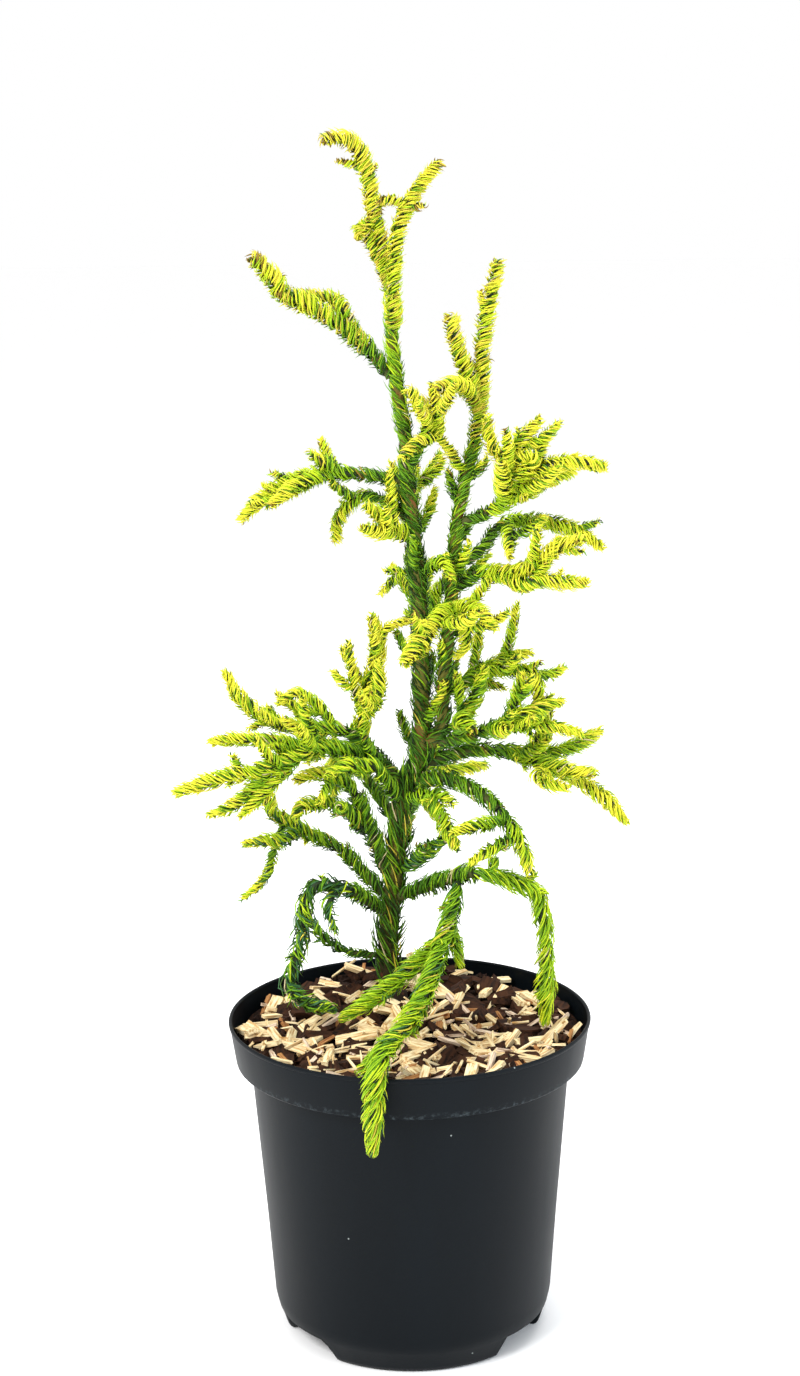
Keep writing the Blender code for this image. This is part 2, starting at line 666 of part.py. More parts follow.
def outer_shell(mesh, weld):
    """Corners and triangles of a mesh's one outer skin, without scraps, folds or hollows."""
    whole = bmesh.new()
    whole.from_mesh(mesh)
    bmesh.ops.triangulate(whole, faces=whole.faces)
    places, corners, triangles = {}, [], {}
    for face in whole.faces:
        triangle = []
        for vert in face.verts:
            key = tuple(round(value / weld) for value in vert.co / MM)
            if key not in places:
                places[key] = len(corners)
                corners.append(vert.co / MM)
            triangle.append(places[key])
        if len(set(triangle)) == 3:
            triangles.setdefault(frozenset(triangle), []).append(tuple(triangle))
    whole.free()
    kept = [faces[0] for faces in triangles.values() if len(faces) == 1]
    sides = {}
    for number, triangle in enumerate(kept):
        for first, last in zip(triangle, triangle[1:] + triangle[:1]):
            sides.setdefault(frozenset((first, last)), []).append(number)
    unseen, groups = set(range(len(kept))), []
    while unseen:
        group, stack = [], [unseen.pop()]
        while stack:
            number = stack.pop()
            group.append(number)
            triangle = kept[number]
            for first, last in zip(triangle, triangle[1:] + triangle[:1]):
                for other in sides[frozenset((first, last))]:
                    if len(sides[frozenset((first, last))]) == 2 and other in unseen:
                        unseen.remove(other)
                        stack.append(other)
        groups.append(group)
    largest = sorted(max(groups, key=len))
    used = sorted({corner for number in largest for corner in kept[number]})
    renumbered = {corner: index for index, corner in enumerate(used)}
    faces = [tuple(renumbered[corner] for corner in kept[number]) for number in largest]
    return [corners[corner] for corner in used], faces


def is_closed(faces):
    """Whether every edge joins two triangles that face the same way."""
    edges = [edge for a, b, c in faces for edge in ((a, b), (b, c), (c, a))]
    return len(set(edges)) == len(edges) and set(edges) == {(last, first) for first, last in edges}


def clean_shell(mesh):
    """The outer skin with its smallest edges welded away, as far as it stays closed."""
    for weld in WELDS:
        corners, faces = outer_shell(mesh, weld)
        if is_closed(faces):
            break
    return corners, faces


def fuse(name, pieces, material):
    """Join overlapping closed pieces into one solid with one Boolean union."""
    base = mesh_object(name, *pieces[0], material)
    if len(pieces) == 1:
        return base
    group = bpy.data.collections.new(name + "_pieces")
    for index, piece in enumerate(pieces[1:]):
        part = mesh_object(name + "_piece", *piece, material)
        bpy.context.scene.collection.objects.unlink(part)
        group.objects.link(part)
    union = base.modifiers.new("union", "BOOLEAN")
    union.operation = "UNION"
    union.operand_type = "COLLECTION"
    union.collection = group
    union.solver = "MANIFOLD"
    scene_tree = bpy.context.evaluated_depsgraph_get()
    joined = bpy.data.meshes.new_from_object(base.evaluated_get(scene_tree))
    for part in list(group.objects) + [base]:
        bpy.data.objects.remove(part)
    bpy.data.collections.remove(group)
    return mesh_object(name, *clean_shell(joined), material)


def finish(item):
    """Shade a round piece smooth, with its true edges kept sharp."""
    item.data.shade_smooth()
    item.data.set_sharp_from_angle(angle=math.radians(40))
    return item


def foot_lift(heading):
    """How far the foot is raised at a heading: the arches between the feet."""
    lift = 0.0
    for middle in ARCH_HEADINGS:
        away = abs((heading - middle + 180) % 360 - 180)
        share = (ARCH_WIDTH / 2 + ARCH_SLOPE - away) / ARCH_SLOPE
        lift = max(lift, ARCH_HEIGHT * max(0.0, min(1.0, share)))
    return lift


def side_heading(side):
    """The compass heading of one of the pot's upright edges."""
    return POT_TURN + 360.0 * side / POT_SIDES


def make_pot():
    """Turned shell: inner floor, inner wall, rolled lip, rim band, body, feet and underside."""
    band_foot = POT_HEIGHT - RIM_BAND
    inner_wall = (
        (SLOT_INNER, FLOOR_TOP), (SLOT_OUTER, FLOOR_TOP), (FLOOR_RADIUS, FLOOR_TOP + DRAIN_FALL),
        (BODY_TOP_RADIUS - WALL, band_foot - SHOULDER_LOW),
        (BAND_FOOT_RADIUS - WALL, band_foot + SHOULDER_HIGH),
    )
    lip_and_band = (
        (RIM_RADIUS - WALL, POT_HEIGHT - LIP_EDGE), (RIM_RADIUS - LIP_EDGE, POT_HEIGHT),
        (RIM_RADIUS, POT_HEIGHT - LIP_EDGE), (BAND_FOOT_RADIUS, band_foot),
        (BODY_TOP_RADIUS, band_foot), (BODY_FOOT_RADIUS, BODY_FOOT_HEIGHT),
    )
    outer_foot = ((BODY_FOOT_RADIUS - 1.5, FOOT_HEIGHT), (FOOT_RADIUS + 3.1, 3.0), (FOOT_RADIUS, 0.0))
    inner_foot = ((FOOT_RADIUS - 3.0, 0.0), (FOOT_RADIUS + 2.5, UNDERSIDE + DRAIN_FALL))
    underside = (
        (SLOT_OUTER, UNDERSIDE), (SLOT_INNER, UNDERSIDE),
        (PAD_RADIUS + 2.0, UNDERSIDE + DRAIN_FALL), (PAD_RADIUS, 0.0),
    )
    verts = []
    for stretch in (inner_wall, lip_and_band, outer_foot, inner_foot, underside):
        raised = {outer_foot: outer_foot[0], inner_foot: inner_foot[-1]}.get(stretch)
        for radius, height in stretch:
            for side in range(POT_SIDES):
                heading = side_heading(side)
                reach, level = radius, height
                if raised:
                    share = foot_lift(heading) / FOOT_HEIGHT
                    reach = radius + (raised[0] - radius) * share
                    level = height + (FOOT_HEIGHT - height) * share
                verts.append(heading_vector(heading, 0) * reach + Vector((0, 0, level)))
    rings = len(verts) // POT_SIDES
    slot_top = 0
    slot_low = rings - len(underside)
    slots = range(0, POT_SIDES, POT_SIDES // SLOT_COUNT)
    faces = []
    for band in range(rings - 1):
        for side in range(POT_SIDES):
            after = (side + 1) % POT_SIDES
            low, high = band * POT_SIDES, (band + 1) * POT_SIDES
            if band not in (slot_top, slot_low) or side not in slots:
                faces.append((low + side, low + after, high + after, high + side))
    for side in slots:
        after = (side + 1) % POT_SIDES
        top_in, top_out = slot_top * POT_SIDES, (slot_top + 1) * POT_SIDES
        low_out, low_in = slot_low * POT_SIDES, (slot_low + 1) * POT_SIDES
        corners = ((top_in + side, low_in + side), (top_in + after, low_in + after),
                   (top_out + after, low_out + after), (top_out + side, low_out + side))
        for (top, low), (next_top, next_low) in zip(corners, corners[1:] + corners[:1]):
            faces.append((top, next_top, next_low, low))
    middle_top, middle_low = len(verts), len(verts) + 1
    verts.append(Vector((0, 0, FLOOR_TOP + DRAIN_FALL)))
    verts.append(Vector((0, 0, 0)))
    last = (rings - 1) * POT_SIDES
    for side in range(POT_SIDES):
        after = (side + 1) % POT_SIDES
        faces.append((middle_top, after, side))
        faces.append((middle_low, last + side, last + after))
    return verts, outward(verts, faces)


def mix_height(place):
    """Height of the mulch: low bumps, a heap round the trunk and a bank behind it."""
    away = math.hypot(place.x - FOOT_PLACE[0], place.y - FOOT_PLACE[1])
    bump = math.sin(place.x * 0.11 + 1.0) * math.cos(place.y * 0.13) * MIX_BUMP
    heap = MIX_HEAP * math.exp(-((max(0.0, away - FOOT_PAD) / HEAP_SPREAD) ** 2))
    bank = BANK_SLOPE * max(0.0, place.y - BANK_START)
    return MIX_LEVEL + heap + bank + bump * min(1.0, max(0.0, away - FOOT_PAD) / LEVEL_RING)


def make_mix():
    """The potting mix and its mulch, a gap clear of the pot's inner wall all round."""
    band_foot = POT_HEIGHT - RIM_BAND
    sides = (
        (FLOOR_RADIUS - 2 * GAP, FLOOR_TOP + DRAIN_FALL + GAP),
        (BODY_TOP_RADIUS - WALL - GAP, band_foot - SHOULDER_LOW),
        (BAND_FOOT_RADIUS - WALL - GAP * 1.5, band_foot + SHOULDER_HIGH + GAP),
    )
    top_radius = BAND_FOOT_RADIUS - WALL - GAP + (MIX_LEVEL - band_foot) * 0.15
    rings = [[heading_vector(side_heading(side), 0) * radius + Vector((0, 0, height))
              for side in range(POT_SIDES)] for radius, height in sides]
    foot = Vector((FOOT_PLACE[0], FOOT_PLACE[1], 0))
    for index in range(MIX_RINGS):
        share = 1.0 - index / (MIX_RINGS - 1)
        middle = foot * (1.0 - share)
        radius = FOOT_PAD + (top_radius - FOOT_PAD) * share
        ring = []
        for side in range(POT_SIDES):
            place = middle + heading_vector(side_heading(side), 0) * radius
            ring.append(Vector((place.x, place.y, mix_height(place))))
        rings.append(ring)
    verts = [vert for ring in rings for vert in ring]
    faces = []
    for index in range(len(rings) - 1):
        for side in range(POT_SIDES):
            after = (side + 1) % POT_SIDES
            low, high = index * POT_SIDES, (index + 1) * POT_SIDES
            faces.append((low + side, low + after, high + after, high + side))
    bottom, top = len(verts), len(verts) + 1
    verts.append(Vector((0, 0, FLOOR_TOP + DRAIN_FALL + GAP)))
    verts.append(Vector((foot.x, foot.y, MIX_LEVEL + MIX_HEAP)))
    last = (len(rings) - 1) * POT_SIDES
    for side in range(POT_SIDES):
        after = (side + 1) % POT_SIDES
        faces.append((bottom, after, side))
        faces.append((top, last + side, last + after))
    return verts, faces


def grow_shoot(plan, seat, root, others):
    """A shoot and all its forks, each eased clear of the limbs round it."""
    points = arc_points(root, plan["arcs"], SHOOT_STEP)
    radii = shoot_radii(points, plan["girth"], seat is None)
    if seat:
        limb = seated_limb(points, radii, seat, others)
    else:
        limb = make_limb(points, radii)
        bend_clear(limb, others)
    limb["girth"] = plan["girth"]
    grown = [limb]
    for fork in plan["forks"]:
        nearest = (fork["girth"] * ROOT_SLIM / 2 + FORK_CLEAR) / limb["lengths"][-1]
        place = point_at(limb, max(nearest, fork["share"]))[0]
        grown += grow_shoot(fork, None, place, others)
    return grown


def spiral(limb, spacing, chance):
    """Places along a limb in a golden-angle spiral: point, direction, outward and radius."""
    length = limb["lengths"][-1]
    spin = chance.uniform(0, 360)
    for index in range(int((length - TIP_LENGTH) / spacing)):
        share = (index + 0.7 + chance.uniform(-0.2, 0.2)) * spacing / length
        point, along, radius = point_at(limb, share)
        spin += GOLDEN_ANGLE
        across = Matrix.Rotation(math.radians(spin), 3, along) @ along.orthogonal()
        yield point, along, across.normalized(), radius


def grow_twigs(grown, chance, others):
    """Short side twigs by a seeded rule, left out where they would touch another limb."""
    twigs = []
    for limb in grown:
        for point, along, across, _ in spiral(limb, TWIG_SPACING, chance):
            reach = chance.uniform(*TWIG_LENGTH)
            middle = point + (along * 0.65 + across).normalized() * reach * 0.6
            points = [point, middle, middle + (along * 1.3 + across).normalized() * reach * 0.4]
            twig = make_limb(points, shoot_radii(points, limb["girth"] * TWIG_GIRTH, True))
            above_mix = min(point.z for point in points) > POT_HEIGHT + RIM_CLEAR
            if above_mix and is_clear(twig, others, SHOOT_CLEAR):
                twigs.append(twig)
    return twigs


def needle(point, along, across, radius, length):
    """A curved needle rooted deep in its shoot and pressed forward along it."""
    side = along.cross(across)
    root = point + across * radius * 0.35
    middle = point + across * radius * 1.02 + along * length * 0.45
    tip = point + across * radius * 1.42 + along * length + side * radius * 0.35
    verts = []
    for centre, width in ((root, NEEDLE_WIDTH), (middle, NEEDLE_WIDTH * 0.8)):
        verts.append(centre + side * width / 2)
        verts.append(centre - side * width / 2)
        verts.append(centre + across * width * 0.55 - along * width * 0.3)
    verts.append(tip)
    faces = [(0, 2, 1), (3, 4, 6), (4, 5, 6), (5, 3, 6)]
    for first, second in ((0, 1), (1, 2), (2, 0)):
        faces.append((first, second, second + 3, first + 3))
    return verts, outward(verts, faces)


def grow_needles(grown, chance, others):
    """Needles that stand out of the shoots, left out where they would touch another limb."""
    pieces, taken = [], []
    for limb in grown:
        for point, along, across, radius in spiral(limb, NEEDLE_SPACING, chance):
            verts, faces = needle(point, along, across, radius, chance.uniform(*NEEDLE_LENGTH))
            space = make_limb([point + across * radius, verts[-1]], [NEEDLE_WIDTH / 3] * 2)
            if is_clear(space, others, SHOOT_CLEAR / 2):
                pieces.append((verts, faces))
                taken.append(space)
    return pieces, taken


for item in list(bpy.data.objects):
    bpy.data.objects.remove(item)

pot_plastic = make_material("pot_plastic", (0.017, 0.022, 0.026), 0.45)
mulch_bark = make_material("mulch_bark", (0.085, 0.045, 0.025), 0.9)
old_bark = make_material("old_bark", (0.075, 0.07, 0.03), 0.85)
bough_green = make_material("bough_green", (0.10, 0.16, 0.04), 0.75)
needle_greens = [
    make_material("needle_green_lime", (0.42, 0.52, 0.03), 0.6),
    make_material("needle_green_mid", (0.22, 0.38, 0.03), 0.6),
    make_material("needle_green_deep", (0.10, 0.22, 0.04), 0.6),
]

finish(mesh_object("pot", *make_pot(), pot_plastic))
finish(mesh_object("potting_mix", *make_mix(), mulch_bark))

limbs = {}
trunk_points = smooth_points(TRUNK_BENDS, STEM_STEP)
trunk_radii = [
    radius + ROOT_FLARE * math.exp(-(point.z - TRUNK_FOOT) / ROOT_FLARE_HEIGHT)
    for point, radius in zip(trunk_points, taper(trunk_points, TRUNK_GIRTH))]
limbs["trunk"] = make_limb(trunk_points, trunk_radii)
trunk_mesh = tube(trunk_points, trunk_radii, STEM_SIDES, pointed=False, level_foot=True)
finish(mesh_object("trunk", trunk_mesh[0], outward(*trunk_mesh), old_bark))

fork_seat = find_seat("trunk", SECOND_BENDS[0][0] - 8)
second_points = [fork_seat["root"]] + smooth_points(SECOND_BENDS, STEM_STEP)
limbs["second_stem"] = seated_limb(second_points, taper(second_points, SECOND_GIRTH), fork_seat, [])
second_mesh = seated_tube(limbs["second_stem"], fork_seat, STEM_SIDES, 1.0, 0.0, False)
finish(mesh_object("second_stem", *second_mesh, old_bark))

for name, carrier_name, place, girth, bend in BOUGHS:
    seat = find_seat(carrier_name, place)
    points = arc_points(seat["root"], (bend,), SHOOT_STEP)
    limbs[name] = seated_limb(points, taper(points, girth), seat, list(limbs.values()))
    bough_mesh = seated_tube(limbs[name], seat, STEM_SIDES, 1.0, 0.0, False)
    finish(mesh_object(name, *bough_mesh, bough_green))

seats = {}
foliage = {}
for name, carrier_name, place, plan in MASSES:
    seats[name] = find_seat(carrier_name, place)
    others = list(limbs.values()) + [limb for grown in foliage.values() for limb in grown]
    foliage[name] = grow_shoot(plan, seats[name], seats[name]["root"], others)

for number, name in enumerate(foliage):
    chance = random.Random(SEED + number)
    others = list(limbs.values())
    for other_name, grown in foliage.items():
        if other_name != name:
            others += grown
    shoots = foliage[name]
    shoots += grow_twigs(shoots, chance, others)
    pieces = [seated_tube(shoots[0], seats[name], SHOOT_SIDES, GROOVE, GROOVE_TURN, True)]
    for limb in shoots[1:]:
        verts, faces = tube(limb["points"], limb["radii"], SHOOT_SIDES, GROOVE, GROOVE_TURN)
        pieces.append((verts, outward(verts, faces)))
    needles, taken = grow_needles(shoots, chance, others)
    shoots += taken
    finish(fuse(name, pieces + needles, needle_greens[number % len(needle_greens)]))
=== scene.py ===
import math
import random

import bmesh
import bpy
import numpy as np
from mathutils import Matrix, Vector, noise


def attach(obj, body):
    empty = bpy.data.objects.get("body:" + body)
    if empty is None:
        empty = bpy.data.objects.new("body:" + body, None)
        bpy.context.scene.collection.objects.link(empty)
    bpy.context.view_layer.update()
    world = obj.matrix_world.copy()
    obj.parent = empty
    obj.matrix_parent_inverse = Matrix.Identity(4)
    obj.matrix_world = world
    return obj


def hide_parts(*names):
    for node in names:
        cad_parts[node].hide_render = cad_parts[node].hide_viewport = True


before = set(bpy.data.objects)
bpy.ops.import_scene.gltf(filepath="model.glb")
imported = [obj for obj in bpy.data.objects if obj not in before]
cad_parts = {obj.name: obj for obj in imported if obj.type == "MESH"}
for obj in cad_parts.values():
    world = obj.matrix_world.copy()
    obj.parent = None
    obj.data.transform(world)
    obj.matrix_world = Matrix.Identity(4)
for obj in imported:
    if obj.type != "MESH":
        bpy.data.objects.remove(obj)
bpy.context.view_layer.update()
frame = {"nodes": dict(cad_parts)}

# The pot: a 5 litre nursery pot of charcoal polypropylene, injection moulded with a deep rim
# band, a thin rolled lip, three broad feet and drainage slots through its floor.
MM = 0.001
POT_STEPS = 120
POT_HEIGHT = 196.0
RIM_RADIUS = 110.0
RIM_BAND = 26.6
BAND_FOOT_RADIUS = 105.7
BODY_TOP_RADIUS = 97.1
BODY_FOOT_RADIUS = 85.3
BODY_FOOT_HEIGHT = 18.5
FOOT_RADIUS = 76.5
FOOT_HEIGHT = 13.5
WALL = 1.8
FLOOR_TOP = 15.5
FLOOR_RADIUS = 82.0
UNDERSIDE = 13.0
DRAIN_FALL = 0.6
SLOT_INNER = 44.0
SLOT_OUTER = 60.0
SLOT_COUNT = 8
SLOT_TURN = 2.0
SLOT_WIDTH = 9.0
PAD_RADIUS = 12.0
ARCH_HEIGHT = 13.5
ARCH_WIDTH = 30.0
ARCH_SLOPE = 3.0
ARCH_HEADINGS = (92.0, 215.0, 327.0)
ARCH_DRAW = 7.5
ARCH_EDGE = 1.8


def heading_vector(heading, rise):
    """The unit direction of a compass heading and an angle above level."""
    side = math.radians(heading)
    up = math.radians(rise)
    return Vector((math.cos(side) * math.cos(up), math.sin(side) * math.cos(up), math.sin(up)))


def turned(profile, steps):
    """A bmesh of a profile of radii and heights, spun about the upright axis."""
    shape = bmesh.new()
    verts = [shape.verts.new((radius * MM, 0, height * MM)) for radius, height in profile]
    edges = [shape.edges.new(pair) for pair in zip(verts, verts[1:])]
    bmesh.ops.spin(shape, geom=verts + edges, cent=(0, 0, 0), axis=(0, 0, 1),
                   angle=math.tau, steps=steps, use_merge=True)
    bmesh.ops.remove_doubles(shape, verts=shape.verts, dist=0.00001)
    return shape


def placed_piece(name, mesh, material):
    """Stand a finished mesh in the scene as a named object of one material."""
    piece = bpy.data.objects.new(name, mesh)
    bpy.context.scene.collection.objects.link(piece)
    mesh.materials.append(material)
    return piece


def moulded_piece(name, shape, material, smooth=None):
    """Make a bmesh into a named object of one material, smooth up to an angle."""
    mesh = bpy.data.meshes.new(name)
    shape.to_mesh(mesh)
    shape.free()
    if smooth:
        mesh.shade_smooth()
        mesh.set_sharp_from_angle(angle=math.radians(smooth))
    return placed_piece(name, mesh, material)


def blank_finish(name):
    """A new material, with its node tree and its shader."""
    material = bpy.data.materials.new(name)
    material.use_nodes = True
    return material, material.node_tree, material.node_tree.nodes["Principled BSDF"]


def add_node(tree, kind, inputs=(), **settings):
    """Add a shader node with its settings, and fill or link its inputs."""
    node = tree.nodes.new(kind)
    for name, value in settings.items():
        setattr(node, name, value)
    for socket, value in dict(inputs).items():
        if isinstance(value, bpy.types.NodeSocket):
            tree.links.new(value, node.inputs[socket])
        else:
            node.inputs[socket].default_value = value
    return node


def paint(code):
    """An sRGB hex colour as linear red, green, blue and alpha."""
    parts = [int(code[index:index + 2], 16) / 255 for index in (1, 3, 5)]
    return (*[part / 12.92 if part <= 0.04045 else ((part + 0.055) / 1.055) ** 2.4
              for part in parts], 1.0)


def foot_lift(heading):
    """How far the foot is raised at a heading: the arches between the feet."""
    lift = 0.0
    for middle in ARCH_HEADINGS:
        away = abs((heading - middle + 180) % 360 - 180)
        share = (ARCH_WIDTH / 2 + ARCH_SLOPE - away) / ARCH_SLOPE
        lift = max(lift, ARCH_HEIGHT * max(0.0, min(1.0, share)))
    return lift


band_foot = POT_HEIGHT - RIM_BAND
pot_shape = turned((
    (0, FLOOR_TOP + DRAIN_FALL), (SLOT_INNER, FLOOR_TOP), (SLOT_OUTER, FLOOR_TOP),
    (FLOOR_RADIUS, FLOOR_TOP + DRAIN_FALL),
    (FLOOR_RADIUS + 2.2, FLOOR_TOP + 3.0), (BODY_TOP_RADIUS - WALL, band_foot - 1.1),
    (BAND_FOOT_RADIUS - WALL, band_foot + 1.9), (RIM_RADIUS - WALL, POT_HEIGHT - 2.2),
    (RIM_RADIUS - 1.9, POT_HEIGHT - 0.9), (RIM_RADIUS - 1.3, POT_HEIGHT - 0.2),
    (RIM_RADIUS - 0.7, POT_HEIGHT), (RIM_RADIUS - 0.1, POT_HEIGHT - 0.4),
    (RIM_RADIUS + 0.2, POT_HEIGHT - 1.3), (RIM_RADIUS, POT_HEIGHT - 2.3),
    (RIM_RADIUS - 0.7, POT_HEIGHT - 3.0), (RIM_RADIUS - 0.9, POT_HEIGHT - 5.0),
    ((RIM_RADIUS + BAND_FOOT_RADIUS) / 2, POT_HEIGHT - RIM_BAND / 2),
    (BAND_FOOT_RADIUS + 0.6, band_foot + 3.0), (BAND_FOOT_RADIUS + 0.2, band_foot + 1.2),
    (BAND_FOOT_RADIUS - 0.9, band_foot + 0.2), (BAND_FOOT_RADIUS - 2.4, band_foot),
    (BODY_TOP_RADIUS + 1.4, band_foot - 0.4), (BODY_TOP_RADIUS, band_foot - 1.8),
    ((BODY_TOP_RADIUS * 2 + BODY_FOOT_RADIUS) / 3, band_foot * 0.68 + 5),
    ((BODY_TOP_RADIUS + BODY_FOOT_RADIUS * 2) / 3, band_foot * 0.36 + 11),
    (BODY_FOOT_RADIUS + 0.3, BODY_FOOT_HEIGHT + 3.5), (BODY_FOOT_RADIUS - 0.4, BODY_FOOT_HEIGHT),
    (BODY_FOOT_RADIUS - 1.5, FOOT_HEIGHT + 0.6), (BODY_FOOT_RADIUS - 2.2, FOOT_HEIGHT - 0.2),
    (FOOT_RADIUS + 3.4, 3.4), (FOOT_RADIUS + 1.8, 1.0), (FOOT_RADIUS, 0.0),
    (FOOT_RADIUS - 3.0, 0.0), (FOOT_RADIUS + 2.5, UNDERSIDE + DRAIN_FALL),
    (SLOT_OUTER, UNDERSIDE), (SLOT_INNER, UNDERSIDE),
    (PAD_RADIUS + 2.0, UNDERSIDE + DRAIN_FALL), (PAD_RADIUS, 0.0), (0, 0.0),
), POT_STEPS)
for vert in pot_shape.verts:
    away = math.hypot(vert.co.x, vert.co.y) / MM
    if vert.co.z < FOOT_HEIGHT * MM and away > PAD_RADIUS + 10:
        lift = foot_lift(math.degrees(math.atan2(vert.co.y, vert.co.x)) % 360)
        share = lift / FOOT_HEIGHT
        reach = away + (min(away + ARCH_DRAW, BODY_FOOT_RADIUS - ARCH_EDGE) - away) * share
        vert.co.z += (FOOT_HEIGHT * MM - vert.co.z) * share
        vert.co.x *= reach / away
        vert.co.y *= reach / away

# Eight slots are cut through the floor, and each gets its four side walls.
for number in range(SLOT_COUNT):
    cut = []
    for face in pot_shape.faces:
        middle = face.calc_center_median() / MM
        away = math.hypot(middle.x, middle.y)
        turn = (math.degrees(math.atan2(middle.y, middle.x)) - SLOT_TURN) % 360
        in_slot = 0 <= turn - number * 360 / SLOT_COUNT < SLOT_WIDTH
        in_floor = middle.z < FLOOR_TOP + 1 and abs(face.normal.z) > 0.9
        if in_slot and in_floor and SLOT_INNER < away < SLOT_OUTER:
            cut.append(face)
    bmesh.ops.delete(pot_shape, geom=cut, context="FACES")
    rims = [edge for edge in pot_shape.edges if edge.is_boundary]
    bmesh.ops.bridge_loops(pot_shape, edges=rims)
bmesh.ops.recalc_face_normals(pot_shape, faces=pot_shape.faces)

# Moulded polypropylene: charcoal with a soft sheen, a faint stipple from the mould, dusty rubs
# along the band's lower edge and the odd pale speck of dried lime.
pot_plastic, tree, shader = blank_finish("moulded_polypropylene")
place = add_node(tree, "ShaderNodeTexCoord").outputs["Object"]
height = add_node(tree, "ShaderNodeSeparateXYZ", {"Vector": place}).outputs["Z"]
streaks = add_node(tree, "ShaderNodeMapping", {"Vector": place, "Scale": (1.0, 1.0, 0.22)})
cloudy = add_node(tree, "ShaderNodeTexNoise", {
    "Vector": streaks.outputs["Vector"], "Scale": 26.0, "Detail": 4.0, "Roughness": 0.6})
film = add_node(tree, "ShaderNodeMapRange", {
    "Value": cloudy.outputs["Fac"], "From Min": 0.42, "From Max": 0.85, "To Max": 0.32})
body = add_node(tree, "ShaderNodeMix", {
    0: film.outputs["Result"], 6: paint("#080D11"), 7: paint("#10181E")}, data_type="RGBA")
near_edge = add_node(tree, "ShaderNodeMath", {
    0: height, 1: (band_foot + 1.4) * MM}, operation="SUBTRACT")
off_edge = add_node(tree, "ShaderNodeMath", {0: near_edge.outputs[0]}, operation="ABSOLUTE")
edge_band = add_node(tree, "ShaderNodeMapRange", {
    "Value": off_edge.outputs[0], "From Min": 0.0002, "From Max": 0.0036,
    "To Min": 1.0, "To Max": 0.0})
rubs = add_node(tree, "ShaderNodeTexNoise", {
    "Vector": place, "Scale": 300.0, "Detail": 6.0, "Roughness": 0.72})
rub_cut = add_node(tree, "ShaderNodeMapRange", {
    "Value": rubs.outputs["Fac"], "From Min": 0.5, "From Max": 0.72})
rub_share = add_node(tree, "ShaderNodeMath", {
    0: edge_band.outputs["Result"], 1: rub_cut.outputs["Result"]}, operation="MULTIPLY")
rubbed = add_node(tree, "ShaderNodeMix", {
    0: rub_share.outputs[0], 6: body.outputs[2], 7: paint("#454E52")}, data_type="RGBA")
spots = add_node(tree, "ShaderNodeTexVoronoi", {"Vector": place, "Scale": 84.0})
spot_size = add_node(tree, "ShaderNodeMath", {0: spots.outputs["Distance"], 1: 0.04},
                     operation="LESS_THAN")
spot_pick = add_node(tree, "ShaderNodeSeparateColor", {"Color": spots.outputs["Color"]})
spot_few = add_node(tree, "ShaderNodeMath", {0: spot_pick.outputs["Red"], 1: 0.84},
                    operation="GREATER_THAN")
speck = add_node(tree, "ShaderNodeMath", {0: spot_size.outputs[0], 1: spot_few.outputs[0]},
                 operation="MULTIPLY")
specked = add_node(tree, "ShaderNodeMix", {
    0: speck.outputs[0], 6: rubbed.outputs[2], 7: paint("#8F9794")}, data_type="RGBA")
tree.links.new(specked.outputs[2], shader.inputs["Base Color"])
dull = add_node(tree, "ShaderNodeMapRange", {
    "Value": cloudy.outputs["Fac"], "To Min": 0.36, "To Max": 0.55})
tree.links.new(dull.outputs["Result"], shader.inputs["Roughness"])
stipple = add_node(tree, "ShaderNodeTexNoise", {"Vector": place, "Scale": 900.0, "Detail": 2.0})
grain = add_node(tree, "ShaderNodeBump", {
    "Height": stipple.outputs["Fac"], "Strength": 0.12, "Distance": 0.0004})
tree.links.new(grain.outputs["Normal"], shader.inputs["Normal"])
shader.inputs["IOR"].default_value = 1.49
shader.inputs["Specular IOR Level"].default_value = 0.1

pot_shell = moulded_piece("pot_shell", pot_shape, pot_plastic, smooth=28)
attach(pot_shell, "root")
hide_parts("pot")

# The potting mix: composted bark and peat that fills the pot to 15 mm below its lip, heaped
# round the foot of the trunk, banked up behind it and piled a little against the wall.
MIX_LEVEL = 180.5
BANK_START = 50.0
BANK_SLOPE = 0.16
WALL_PILE = 4.0
PILE_START = 50.0
MIX_HEAP = 9.5
MIX_BUMP = 1.6
HEAP_SPREAD = 42.0
LEVEL_RING = 25.0
FOOT_PLACE = (-9.0, 35.0)
FOOT_PAD = 15.0
GAP = 0.3
WALL_LEAN = 0.15
MIX_STEPS = 144
MIX_RINGS = 40
CHIP_COVER = 1.6
LUMP_RISE = 2.2


def mix_height(x, y):
    """Height of the mix: low bumps, a heap round the trunk and banks behind it and at the wall."""
    away = math.hypot(x - FOOT_PLACE[0], y - FOOT_PLACE[1])
    bump = math.sin(x * 0.11 + 1.0) * math.cos(y * 0.13) * MIX_BUMP
    heap = MIX_HEAP * math.exp(-((max(0.0, away - FOOT_PAD) / HEAP_SPREAD) ** 2))
    pile = WALL_PILE * max(0.0, math.hypot(x, y) / PILE_START - 1.0)
    bank = max(BANK_SLOPE * (y - BANK_START), pile)
    return MIX_LEVEL + heap + bank + bump * min(1.0, max(0.0, away - FOOT_PAD) / LEVEL_RING)


